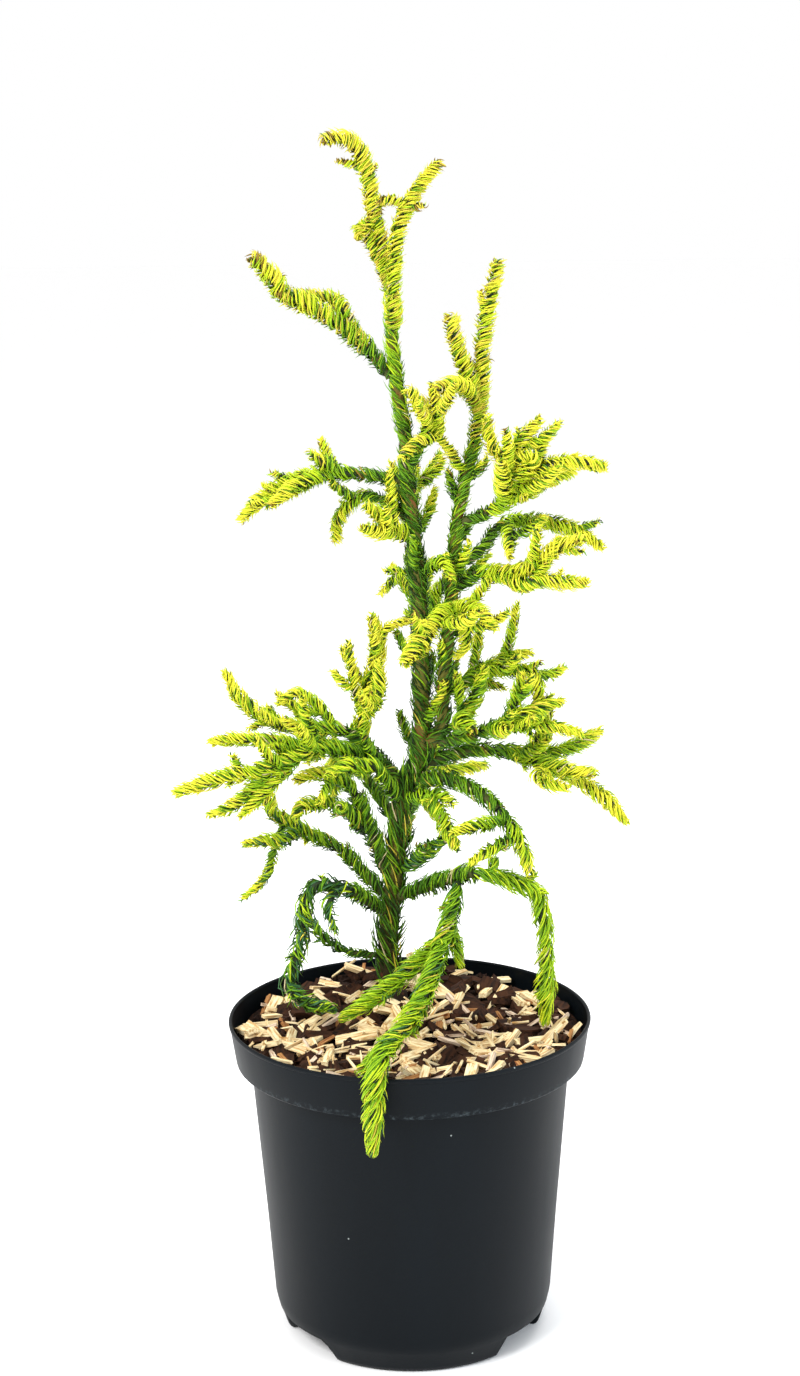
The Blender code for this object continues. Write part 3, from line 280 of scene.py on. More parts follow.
mix_edge = BAND_FOOT_RADIUS - WALL - GAP + (MIX_LEVEL - band_foot) * WALL_LEAN
mix_shape = turned(
    ((0, FLOOR_TOP + DRAIN_FALL + GAP), (FLOOR_RADIUS - 2 * GAP, FLOOR_TOP + DRAIN_FALL + GAP),
     (BODY_TOP_RADIUS - WALL - 2 * GAP, band_foot - 2.0),
     (BAND_FOOT_RADIUS - WALL - 2 * GAP, band_foot + 3.0))
    + tuple((mix_edge * (1 - ring / MIX_RINGS) - 0.4, MIX_LEVEL) for ring in range(MIX_RINGS))
    + ((0, MIX_LEVEL),), MIX_STEPS)
for vert in mix_shape.verts:
    if vert.co.z > (band_foot + 4) * MM:
        x, y = vert.co.x / MM, vert.co.y / MM
        lumps = noise.fractal(Vector((x, y, 0)) * 0.09, 0.7, 2.2, 4) * LUMP_RISE
        fade = min(1.0, (mix_edge - math.hypot(x, y)) / 6.0)
        vert.co.z = (mix_height(x, y) - CHIP_COVER + lumps * fade) * MM
bmesh.ops.recalc_face_normals(mix_shape, faces=mix_shape.faces)

# Damp composted bark: nearly black brown, matt, with crumbs a few millimetres across.
damp_mix, tree, shader = blank_finish("damp_composted_bark")
place = add_node(tree, "ShaderNodeTexCoord").outputs["Object"]
crumbs = add_node(tree, "ShaderNodeTexVoronoi", {"Vector": place, "Scale": 330.0})
crumb_tone = add_node(tree, "ShaderNodeSeparateColor", {"Color": crumbs.outputs["Color"]})
crumb_colour = add_node(tree, "ShaderNodeMix", {
    0: crumb_tone.outputs["Green"], 6: paint("#140C08"), 7: paint("#331F14")}, data_type="RGBA")
tree.links.new(crumb_colour.outputs[2], shader.inputs["Base Color"])
crumb_relief = add_node(tree, "ShaderNodeBump", {
    "Height": crumbs.outputs["Distance"], "Strength": 0.8, "Distance": 0.0015}, invert=True)
tree.links.new(crumb_relief.outputs["Normal"], shader.inputs["Normal"])
shader.inputs["Roughness"].default_value = 0.92
shader.inputs["Specular IOR Level"].default_value = 0.1

mix_body = moulded_piece("mix_body", mix_shape, damp_mix, smooth=60)
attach(mix_body, "root")
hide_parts("potting_mix")

# The mulch: loose bark chunks and pale split wood chips, tipped on by hand, up to 29 mm long.
# Each kind is a few cut shapes, repeated at every size and turn and joined into one piece.
CHIP_STEPS = 4
CHIP_SHAPES = 6
CHIP_BOW = 0.12
CHIP_STRETCH = 0.12
CHIP_HALF = 0.55
CHIP_ROLL = 1.6
CHIP_BED = (-0.2, 1.6)
GRAIN_SHIFT = 900.0
WALL_CLEAR = 1.5
TRUNK_CLEAR = 11.0


def chip_shape(seed, rough, waist):
    """One split chip a unit long: a block cut along its length, and every corner knocked off."""
    shape = bmesh.new()
    bmesh.ops.create_cube(shape, size=1.0)
    lengthways = [edge for edge in shape.edges
                  if abs((edge.verts[0].co - edge.verts[1].co).x) > 0.5]
    bmesh.ops.subdivide_edges(shape, edges=lengthways, cuts=CHIP_STEPS - 1)
    across = [edge for edge in shape.edges
              if abs((edge.verts[0].co - edge.verts[1].co).y) > 0.5]
    bmesh.ops.subdivide_edges(shape, edges=across, cuts=1)
    chance = random.Random(seed)
    bow = chance.uniform(-CHIP_BOW, CHIP_BOW)
    for vert in shape.verts:
        end = abs(vert.co.x) * 2
        shove = Vector((
            chance.uniform(-1, 1) * CHIP_STRETCH, chance.uniform(-1, 1), chance.uniform(-1, 1)))
        vert.co += shove * rough * (0.5 + end * 0.5)
        vert.co.y *= 1 - waist * end ** 2
        vert.co.z += bow * (end ** 2 - 0.5)
    bmesh.ops.triangulate(shape, faces=shape.faces)
    bmesh.ops.recalc_face_normals(shape, faces=shape.faces)
    corners = np.array([vert.co for vert in shape.verts])
    faces = np.array([[vert.index for vert in face.verts] for face in shape.faces])
    shape.free()
    return corners, faces


def joined_mesh(name, corners, faces, material):
    """A named object from joined arrays of corners, in millimetres, and triangles."""
    mesh = bpy.data.meshes.new(name)
    mesh.vertices.add(len(corners))
    mesh.vertices.foreach_set("co", (corners * MM).ravel())
    mesh.loops.add(len(faces) * 3)
    mesh.loops.foreach_set("vertex_index", faces.ravel())
    mesh.polygons.add(len(faces))
    mesh.polygons.foreach_set("loop_start", np.arange(len(faces)) * 3)
    mesh.update(calc_edges=True)
    return placed_piece(name, mesh, material)


def scatter_chips(name, material, count, sizes, seed, rough, waist, settle, tilt, thin_back=0.0):
    """Lay chips of one kind over the mix: inside the rim, clear of the trunk, thinner behind."""
    kinds = [chip_shape(seed * 10 + index, rough, waist) for index in range(CHIP_SHAPES)]
    chance = random.Random(seed)
    corners, faces, grain, total = [], [], [], 0
    placed = 0
    while placed < count:
        x, y = chance.uniform(-mix_edge, mix_edge), chance.uniform(-mix_edge, mix_edge)
        length, width, depth = (chance.uniform(*span) for span in sizes)
        turn = chance.uniform(0, math.tau)
        ends = [math.hypot(x + math.cos(turn) * length * side, y + math.sin(turn) * length * side)
                for side in (-CHIP_HALF, CHIP_HALF)]
        foot = math.hypot(x - FOOT_PLACE[0], y - FOOT_PLACE[1])
        furthest = max(ends + [math.hypot(x, y) + width / 2])
        if furthest > mix_edge - WALL_CLEAR or foot < TRUNK_CLEAR + width / 2:
            continue
        if y > 0 and chance.random() < thin_back * y / mix_edge:
            continue
        placed += 1
        shape, triangles = kinds[placed % len(kinds)]
        local = shape * (length, width, depth)
        lean = Matrix.Rotation(math.radians(chance.gauss(0, tilt)), 3, "Y")
        roll = Matrix.Rotation(math.radians(chance.gauss(0, tilt * CHIP_ROLL)), 3, "X")
        pose = np.array(Matrix.Rotation(turn, 3, "Z") @ lean @ roll)
        laid = local @ pose.T
        level = mix_height(x, y) + settle + chance.uniform(*CHIP_BED)
        corners.append(laid + (x, y, level))
        faces.append(triangles + total)
        total += len(shape)
        shift = (chance.uniform(0, GRAIN_SHIFT), chance.uniform(0, GRAIN_SHIFT), 0)
        grain.append(local + shift)
    piece = joined_mesh(name, np.concatenate(corners), np.concatenate(faces), material)
    piece.data.shade_flat()
    field = piece.data.attributes.new("grain", "FLOAT_VECTOR", "POINT")
    field.data.foreach_set("vector", np.concatenate(grain).ravel())
    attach(piece, "root")


def wood_finish(name, dark, light, grain_width, roughness):
    """Split wood or bark: streaks along the grain of each chip, with matching relief."""
    material, tree, shader = blank_finish(name)
    field = add_node(tree, "ShaderNodeAttribute", attribute_name="grain")
    stretched = add_node(tree, "ShaderNodeMapping", {
        "Vector": field.outputs["Vector"],
        "Scale": (0.12 / grain_width, 1.0 / grain_width, 1.0 / grain_width)})
    fibres = add_node(tree, "ShaderNodeTexNoise", {
        "Vector": stretched.outputs["Vector"], "Scale": 1.0, "Detail": 3.0})
    spread = add_node(tree, "ShaderNodeMapRange", {
        "Value": fibres.outputs["Fac"], "From Min": 0.32, "From Max": 0.62})
    tone = add_node(tree, "ShaderNodeMix", {
        0: spread.outputs["Result"], 6: paint(dark), 7: paint(light)}, data_type="RGBA")
    tree.links.new(tone.outputs[2], shader.inputs["Base Color"])
    relief = add_node(tree, "ShaderNodeBump", {
        "Height": fibres.outputs["Fac"], "Strength": 0.6, "Distance": 0.0006})
    tree.links.new(relief.outputs["Normal"], shader.inputs["Normal"])
    shader.inputs["Roughness"].default_value = roughness
    shader.inputs["Specular IOR Level"].default_value = 0.15
    return material


# Pine bark, dark and flaking; heartwood shreds; and split sapwood, pale straw or pinkish.
pine_bark = wood_finish("dry_pine_bark", "#170D08", "#402617", 2.4, 0.88)
bark_crumb = wood_finish("wet_bark_crumb", "#120A07", "#2C1A11", 1.6, 0.85)
heartwood = wood_finish("split_heartwood", "#6E3A20", "#B4824E", 1.1, 0.8)
sapwood = wood_finish("split_sapwood", "#B4864A", "#F8E6B8", 1.3, 0.75)
grey_wood = wood_finish("weathered_sapwood", "#8E6E54", "#E8D2B8", 1.1, 0.8)

# Each kind has a count, its spans of length, width and depth, a seed, how rough and how waisted
# it is, how high it lies, how much it tilts, and how far it thins out behind the trunk.
scatter_chips("bark_crumbs", bark_crumb, 620, ((3, 8), (2.5, 6), (2, 4.5)), 3, 0.22, 0.3, -0.6, 20)
scatter_chips("bark_chunks", pine_bark, 205, ((11, 25), (8, 16), (3, 7)), 5, 0.14, 0.3, 0.8, 17)
scatter_chips("heartwood_chips", heartwood, 34, ((8, 20), (2, 5), (1, 2.4)), 7, 0.1, 0.2, 3.4, 18)
scatter_chips("sapwood_chips", sapwood, 100, ((12, 26), (3.0, 6.6), (1.8, 3.4)),
              9, 0.04, 0.04, 4.0, 16, 0.9)
scatter_chips("sapwood_blocks", sapwood, 16, ((22, 29), (6.0, 8.0), (2.4, 4.2)),
              15, 0.03, 0.03, 4.6, 12, 1.4)
scatter_chips("sapwood_slivers", sapwood, 150, ((8, 26), (1.0, 2.2), (0.8, 1.6)),
              11, 0.07, 0.3, 4.6, 22, 0.8)
scatter_chips("weathered_chips", grey_wood, 44, ((10, 28), (1.6, 4.4), (1, 2.6)),
              13, 0.06, 0.2, 4.2, 20, 0.9)

# The trunk and its fork: young wood, brown-green, with fine fissured bark and the raised
# cushions that old needles left, from a low flare at the mix to its soft growing end.
STEM_STEP = 18.0
BARK_STEP = 1.2
BARK_SHARE = 0.84
BARK_SIDES = 30
STEM_RELIEF = (1.1, 0.9)
FORK_DROP = 8.0
CARRIER_CLEAR = 1.0
HALVINGS = 20
SHOOT_CLEAR = 0.9
BEND_ROUNDS = 12
BEND_SPREAD = 1.6
TRUNK_FOOT = MIX_LEVEL + MIX_HEAP + GAP
TRUNK_BENDS = (
    (TRUNK_FOOT, -9, 35), (225, -13, 36), (264, -9, 34), (316, -3, 30), (334, 1, 29),
    (350, 9, 27), (382, 10, 25), (425, 10, 23), (472, 8, 21), (510, 4, 19), (545, 2, 17),
    (580, -3, 15), (606, -5, 13), (628, -5, 12),
)
TRUNK_GIRTH = (14.5, 6.2)
ROOT_FLARE = 4.0
ROOT_FLARE_HEIGHT = 11.0
SECOND_BENDS = (
    (352, 17, 20), (372, 22, 19), (400, 23, 19), (425, 26, 19), (455, 29, 20), (492, 32, 22),
    (515, 36, 24), (540, 43, 26),
)
SECOND_GIRTH = (9.6, 7.0)


def path_lengths(points):
    """Length from the start of the path to each of its points."""
    lengths = [0.0]
    for first, last in zip(points, points[1:]):
        lengths.append(lengths[-1] + (last - first).length)
    return lengths


def fine_path(points, radii, step):
    """Points and radii every step along a smooth curve through a path."""
    ends = [points[0] * 2 - points[1]] + list(points) + [points[-1] * 2 - points[-2]]
    path, widths = [points[0].copy()], [radii[0]]
    for index in range(1, len(points)):
        before, first, last, after = ends[index - 1:index + 3]
        count = max(1, round((last - first).length / step))
        for piece in range(1, count + 1):
            t = piece / count
            path.append(0.5 * (
                2 * first + (last - before) * t
                + (2 * before - 5 * first + 4 * last - after) * t ** 2
                + (3 * first - before - 3 * last + after) * t ** 3))
            widths.append(radii[index - 1] + (radii[index] - radii[index - 1]) * t)
    return path, widths


def smooth_points(bends, step):
    """Points along a smooth curve through the bends of a stem."""
    knots = [Vector((right, back, height)) for height, right, back in bends]
    return fine_path(knots, [0.0] * len(knots), step)[0]


def make_limb(points, radii):
    """A limb's centre line, with its radius and its length so far at each point."""
    return {"points": points, "radii": radii, "lengths": path_lengths(points)}


def taper(points, girth):
    """Radii that go evenly from the first girth to the last."""
    lengths = path_lengths(points)
    first, last = girth[0] / 2, girth[1] / 2
    return [first + (last - first) * length / lengths[-1] for length in lengths]


def ring_frames(points):
    """A pair of directions across the path at each point, carried along without twisting."""
    along = [(points[1] - points[0]).normalized()]
    for index in range(1, len(points) - 1):
        along.append((points[index + 1] - points[index - 1]).normalized())
    along.append((points[-1] - points[-2]).normalized())
    across = along[0].orthogonal().normalized()
    frames = []
    for direction in along:
        across = (across - direction * across.dot(direction)).normalized()
        frames.append((across, direction.cross(across)))
    return frames


def rolled_skin(shape, points, radii, sides, relief):
    """Roll a grid of faces into a tube along a path, each place swollen by its relief."""
    rows = len(points) - 1
    sheet = bmesh.ops.create_grid(shape, x_segments=sides, y_segments=rows, size=0.5)["verts"]
    frames, lengths = ring_frames(points), path_lengths(points)
    for vert in sheet:
        turn = (vert.co.x + 0.5) * math.tau
        row = round((vert.co.y + 0.5) * rows)
        reach = radii[row] + relief(lengths[row], turn, radii[row])
        across, beside = frames[row]
        vert.co = (points[row] + (across * math.cos(turn) + beside * math.sin(turn)) * reach) * MM
    bmesh.ops.remove_doubles(shape, verts=sheet, dist=0.00001)
    open_ends = [edge for vert in sheet if vert.is_valid for edge in vert.link_edges
                 if edge.is_boundary]
    bmesh.ops.holes_fill(shape, edges=list(set(open_ends)))


def bark_relief(seed, fissure, cushion):
    """The relief of young bark in millimetres: long fissures, and cushions in crossing spirals."""
    def relief(length, turn, radius):
        around = Vector((math.cos(turn) * radius, math.sin(turn) * radius, length * 0.35 + seed))
        crack = abs(noise.noise(around * 0.42))
        lump = noise.noise(around * 0.9 + Vector((7, 3, seed)))
        spiral = math.sin(5 * turn + 0.52 * length) * math.sin(3 * turn - 0.83 * length)
        return fissure * (lump * 0.5 - crack) + cushion * max(0.0, spiral) ** 1.5
    return relief


trunk_points = smooth_points(TRUNK_BENDS, STEM_STEP)
trunk_radii = [
    radius + ROOT_FLARE * math.exp(-(point.z - TRUNK_FOOT) / ROOT_FLARE_HEIGHT)
    for point, radius in zip(trunk_points, taper(trunk_points, TRUNK_GIRTH))]
limbs = {"trunk": make_limb(trunk_points, trunk_radii)}


def point_at(limb, share):
    """The point and direction of a limb at a share of its length."""
    points, lengths = limb["points"], limb["lengths"]
    target = max(0.0, min(1.0, share)) * lengths[-1]
    for index in range(1, len(points)):
        if lengths[index] >= target:
            break
    t = (target - lengths[index - 1]) / (lengths[index] - lengths[index - 1])
    along = (points[index] - points[index - 1]).normalized()
    return points[index - 1].lerp(points[index], t), along


def share_at_height(limb, height):
    """The share of a stem's length at which it reaches a height."""
    points, lengths = limb["points"], limb["lengths"]
    for index in range(1, len(points)):
        if points[index].z >= height:
            break
    t = (height - points[index - 1].z) / (points[index].z - points[index - 1].z)
    return (lengths[index - 1] + (lengths[index] - lengths[index - 1]) * t) / lengths[-1]


def distance_to_limb(point, limb):
    """Distance from a point to a limb's surface."""
    nearest = 1e9
    points, radii = limb["points"], limb["radii"]
    for index in range(len(points) - 1):
        first, last = points[index], points[index + 1]
        span = last - first
        t = max(0.0, min(1.0, (point - first).dot(span) / span.length_squared))
        radius = radii[index] + (radii[index + 1] - radii[index]) * t
        nearest = min(nearest, (point - first - span * t).length - radius)
    return nearest


def find_seat(carrier_name, place):
    """Where a limb is rooted: the limb that carries it, the point, and if that is its tip."""
    carrier = limbs[carrier_name]
    if place == "tip":
        return {"carrier": carrier, "root": point_at(carrier, 1.0)[0], "on_tip": True}
    share = share_at_height(carrier, place) if place > 1 else place
    return {"carrier": carrier, "root": point_at(carrier, share)[0], "on_tip": False}


def nearest_shares(a, b, c, d):
    """The shares along two straight lengths ab and cd at which they come nearest."""
    u, v, w = b - a, d - c, a - c
    uu, uv, vv, uw, vw = u.dot(u), u.dot(v), v.dot(v), u.dot(w), v.dot(w)
    spread = uu * vv - uv * uv
    s = 0.0 if spread < 1e-9 else max(0.0, min(1.0, (uv * vw - vv * uw) / spread))
    t = max(0.0, min(1.0, (uv * s + vw) / vv))
    s = max(0.0, min(1.0, (uv * t - uw) / uu))
    return s, t


def near_box(limb, other, clear):
    """Whether the boxes round two limbs come near each other."""
    reach = max(limb["radii"]) + max(other["radii"]) + clear
    for axis in range(3):
        mine = [point[axis] for point in limb["points"]]
        theirs = [point[axis] for point in other["points"]]
        if min(mine) > max(theirs) + reach or max(mine) < min(theirs) - reach:
            return False
    return True


def near_misses(limb, others, clear):
    """Where a limb comes too near others: its place along the path, and the push that frees it."""
    points, radii = limb["points"], limb["radii"]
    for other in others:
        if not near_box(limb, other, clear):
            continue
        for i in range(len(points) - 1):
            for j in range(len(other["points"]) - 1):
                first, last = other["points"][j:j + 2]
                s, t = nearest_shares(points[i], points[i + 1], first, last)
                between = points[i].lerp(points[i + 1], s) - first.lerp(last, t)
                reach = max(radii[i:i + 2]) + max(other["radii"][j:j + 2]) + clear
                if between.length < reach:
                    yield i + s, between.normalized() * (reach - between.length)


def is_clear(limb, others, clear):
    """Whether a limb keeps clear of all the others."""
    return next(near_misses(limb, others, clear), None) is None


def bend_clear(limb, others):
    """Ease a path sideways off every limb it would touch; its first point stays."""
    points = limb["points"]
    for _ in range(BEND_ROUNDS):
        worst = {}
        for place, push in near_misses(limb, others, SHOOT_CLEAR):
            if push.length > worst.get(int(place), (0.0, Vector()))[1].length:
                worst[int(place)] = (place, push)
        if not worst:
            break
        for place, push in worst.values():
            for index in range(1, len(points)):
                share = math.exp(-((index - place) / BEND_SPREAD) ** 2)
                points[index] = points[index] + push * share
    limb["lengths"] = path_lengths(points)


def leave_carrier(points, radii, carrier):
    """Start a path where it comes out of the limb that carries it, and keep its root there."""
    path, widths = list(points), list(radii)
    while len(path) > 3 and distance_to_limb(path[1], carrier) < widths[0] + CARRIER_CLEAR:
        path.pop(1)
        widths.pop(1)
    low, high = 0.0, 1.0
    for _ in range(HALVINGS):
        middle = (low + high) / 2
        if distance_to_limb(path[0].lerp(path[1], middle), carrier) < 0:
            low = middle
        else:
            high = middle
    path[0] = path[0].lerp(path[1], high)
    return make_limb(path, widths)


def seated_limb(points, radii, seat, others):
    """A limb that starts at its carrier's surface and is eased clear of the others."""
    if seat["on_tip"]:
        limb = make_limb(points, radii)
    else:
        limb = leave_carrier(points, radii, seat["carrier"])
    bend_clear(limb, [other for other in others if other is not seat["carrier"]])
    return limb


fork_seat = find_seat("trunk", SECOND_BENDS[0][0] - FORK_DROP)
second_points = [fork_seat["root"]] + smooth_points(SECOND_BENDS, STEM_STEP)
limbs["second_stem"] = seated_limb(second_points, taper(second_points, SECOND_GIRTH), fork_seat, [])

# Young conifer bark: olive brown with greener new stretches and rusty patches at the joints,
# dull and a little rough.
young_bark, tree, shader = blank_finish("young_conifer_bark")
place = add_node(tree, "ShaderNodeTexCoord").outputs["Object"]
height = add_node(tree, "ShaderNodeSeparateXYZ", {"Vector": place}).outputs["Z"]
rise = add_node(tree, "ShaderNodeMapRange", {
    "Value": height, "From Min": 0.2, "From Max": 0.3})
patches = add_node(tree, "ShaderNodeTexNoise", {
    "Vector": place, "Scale": 55.0, "Detail": 4.0, "Roughness": 0.6})
foot_tone = add_node(tree, "ShaderNodeMix", {
    0: rise.outputs["Result"], 6: paint("#241A12"), 7: paint("#5E5C24")}, data_type="RGBA")
rust_share = add_node(tree, "ShaderNodeMapRange", {
    "Value": patches.outputs["Fac"], "From Min": 0.54, "From Max": 0.66, "To Max": 0.85})
rusty = add_node(tree, "ShaderNodeMix", {
    0: rust_share.outputs["Result"], 6: foot_tone.outputs[2], 7: paint("#7E452A")},
    data_type="RGBA")
tree.links.new(rusty.outputs[2], shader.inputs["Base Color"])
flakes = add_node(tree, "ShaderNodeTexNoise", {"Vector": place, "Scale": 700.0, "Detail": 3.0})
flake_relief = add_node(tree, "ShaderNodeBump", {
    "Height": flakes.outputs["Fac"], "Strength": 0.5, "Distance": 0.0006})
tree.links.new(flake_relief.outputs["Normal"], shader.inputs["Normal"])
shader.inputs["Roughness"].default_value = 0.8
shader.inputs["Specular IOR Level"].default_value = 0.15

for number, name in enumerate(("trunk", "second_stem")):
    stem_shape = bmesh.new()
    points, radii = fine_path(limbs[name]["points"], limbs[name]["radii"], BARK_STEP)
    rolled_skin(stem_shape, points, [radius * BARK_SHARE for radius in radii], BARK_SIDES,
                bark_relief(number * 31, *STEM_RELIEF))
    bmesh.ops.recalc_face_normals(stem_shape, faces=stem_shape.faces)
    stem = moulded_piece(name + "_bark", stem_shape, young_bark, smooth=180)
    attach(stem, "root")
    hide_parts(name)

# The boughs: nineteen tapering limbs off the trunk and its fork, green wood under a skin of
# needle bases, each grown out of the stem that carries it.
SHOOT_STEP = 12.5
SKIN_STEP = 1.6
SKIN_SHARE = 0.7
SKIN_SIDES = 20
SKIN_RELIEF = (0.5, 0.4)


def arc(heading, rise, length, turn=0.0, lift=0.0):
    """One even bend: it sets off at heading and rise, and turns and lifts along its length."""
    return {"heading": heading, "rise": rise, "length": length, "turn": turn, "lift": lift}


def shoot(share, girth, *arcs, forks=()):
    """A shoot that leaves its parent at a share of the parent's length."""
    return {"share": share, "girth": girth, "arcs": arcs, "forks": forks}


def arc_points(start, arcs, step):
    """Points along arcs that follow on from each other."""
    points = [start.copy()]
    for bend in arcs:
        count = max(2, round(bend["length"] / step))
        for index in range(count):
            share = (index + 0.5) / count
            heading = bend["heading"] + bend["turn"] * share
            rise = bend["rise"] + bend["lift"] * share
            points.append(points[-1] + heading_vector(heading, rise) * bend["length"] / count)
    return points


BOUGHS = (
    ("left_arm_bough", "trunk", 573, (6.6, 6.0), arc(190, 58, 24, 0, -4)),
    ("left_tier_bough", "trunk", 519, (6.6, 6.0), arc(186, 12, 30, 0, -5)),
    ("left_second_bough", "trunk", 490, (6.4, 5.6), arc(165, 62, 28, 8, -40)),
    ("right_upper_bough", "second_stem", 493, (6.6, 6.0), arc(332, 18, 22, 0, 6)),
    ("right_second_bough", "second_stem", 468, (6.4, 5.6), arc(15, 14, 34, 0, 50)),
    ("right_third_bough", "second_stem", 450, (6.6, 6.0), arc(322, 50, 24, 0, -20)),
    ("left_spread_bough", "trunk", 328, (8.4, 7.0), arc(198, 58, 54, 0, -18)),
    ("left_rising_bough", "trunk", 262, (9.4, 8.0), arc(208, 72, 70, -4, -4)),
    ("left_low_bough", "trunk", 256, (8.0, 7.0), arc(172, 46, 45, 0, 4)),
    ("left_loop_bough", "trunk", 247, (8.6, 7.6), arc(228, 37, 41, 0, -4)),
    ("left_thin_bough", "trunk", 222, (5.0, 4.4), arc(188, -6, 26, 0, 26)),
    ("right_middle_bough", "second_stem", 356, (7.6, 7.0), arc(335, 14, 32, 0, 6)),
    ("right_reaching_bough", "trunk", 344, (8.2, 7.2), arc(354, 24, 46, 0, -20)),
    ("right_drooping_bough", "trunk", 333, (8.2, 7.4), arc(316, 30, 70, 18, -72)),
    ("lower_right_bough", "trunk", 258, (9.0, 8.4), arc(318, 27, 72, 0, -6)),
    ("back_low_bough", "trunk", 282, (8.0, 7.0), arc(72, 48, 46, 0, -16)),
    ("back_left_bough", "trunk", 305, (7.6, 6.6), arc(122, 38, 44, 0, -12)),
    ("back_middle_bough", "trunk", 408, (6.6, 6.0), arc(84, 42, 30, 0, -12)),
    ("back_upper_bough", "trunk", 484, (6.0, 5.4), arc(94, 46, 20, 0, -10)),
)

# Green wood of the boughs: still soft, olive to bottle green, with a fine fibrous skin.
green_wood, tree, shader = blank_finish("green_bough_wood")
place = add_node(tree, "ShaderNodeTexCoord").outputs["Object"]
patches = add_node(tree, "ShaderNodeTexNoise", {
    "Vector": place, "Scale": 90.0, "Detail": 4.0})
mottle = add_node(tree, "ShaderNodeMix", {
    0: patches.outputs["Fac"], 6: paint("#2C3C1A"), 7: paint("#5A5A2A")}, data_type="RGBA")
tree.links.new(mottle.outputs[2], shader.inputs["Base Color"])
fibres = add_node(tree, "ShaderNodeTexNoise", {"Vector": place, "Scale": 800.0, "Detail": 2.0})
fibre_relief = add_node(tree, "ShaderNodeBump", {
    "Height": fibres.outputs["Fac"], "Strength": 0.4, "Distance": 0.0005})
tree.links.new(fibre_relief.outputs["Normal"], shader.inputs["Normal"])
shader.inputs["Roughness"].default_value = 0.7
shader.inputs["Specular IOR Level"].default_value = 0.2

for number, (name, carrier_name, place, girth, bend) in enumerate(BOUGHS):
    seat = find_seat(carrier_name, place)
    points = arc_points(seat["root"], (bend,), SHOOT_STEP)
    limbs[name] = seated_limb(points, taper(points, girth), seat, list(limbs.values()))
    bough_shape = bmesh.new()
    points, radii = fine_path(limbs[name]["points"], limbs[name]["radii"], SKIN_STEP)
    rolled_skin(bough_shape, points, [radius * SKIN_SHARE for radius in radii], SKIN_SIDES,
                bark_relief(number * 17 + 5, *SKIN_RELIEF))
    bmesh.ops.recalc_face_normals(bough_shape, faces=bough_shape.faces)
    bough = moulded_piece(name + "_bark", bough_shape, green_wood, smooth=180)
    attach(bough, "root")
    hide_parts(name)

# The shoots: thirty-six masses of slim green ropes, each grown on from its limb by arcs and
# forks, with short side twigs, finer curls and, in the heart of the crown, leafy sprigs.
FORK_CLEAR = 1.5
TIP_LENGTH = 11.0
TIP_WIDTH = 0.42
TIP_ROUNDNESS = 0.6
ROOT_SLIM = 0.62
RIM_CLEAR = 4.0
GOLDEN_ANGLE = 137.5
SEED = 240
TWIG_SPACING = 60.0
TWIG_LENGTH = (7.0, 12.0)
TWIG_GIRTH = 0.62
TWIG_BENDS = ((0.65, 0.6), (1.3, 0.4))
CURL_SPACING = 26.0
CURL_LENGTH = (4.5, 9.0)
CURL_GIRTH = 0.46
CURL_LEANS = (0.2, 0.9, 1.8)
SPRIG_SPACING = 19.0
SPRIG_LENGTH = (14.0, 38.0)
SPRIG_GIRTH = 5.2
CROWN_HEART = (6.0, 12.0)
HEART_RADIUS = 78.0
HEART_LOW = 345.0
HEART_HIGH = 560.0
SPRIG_STEPS = 4
SPRIG_LIFT = 0.26
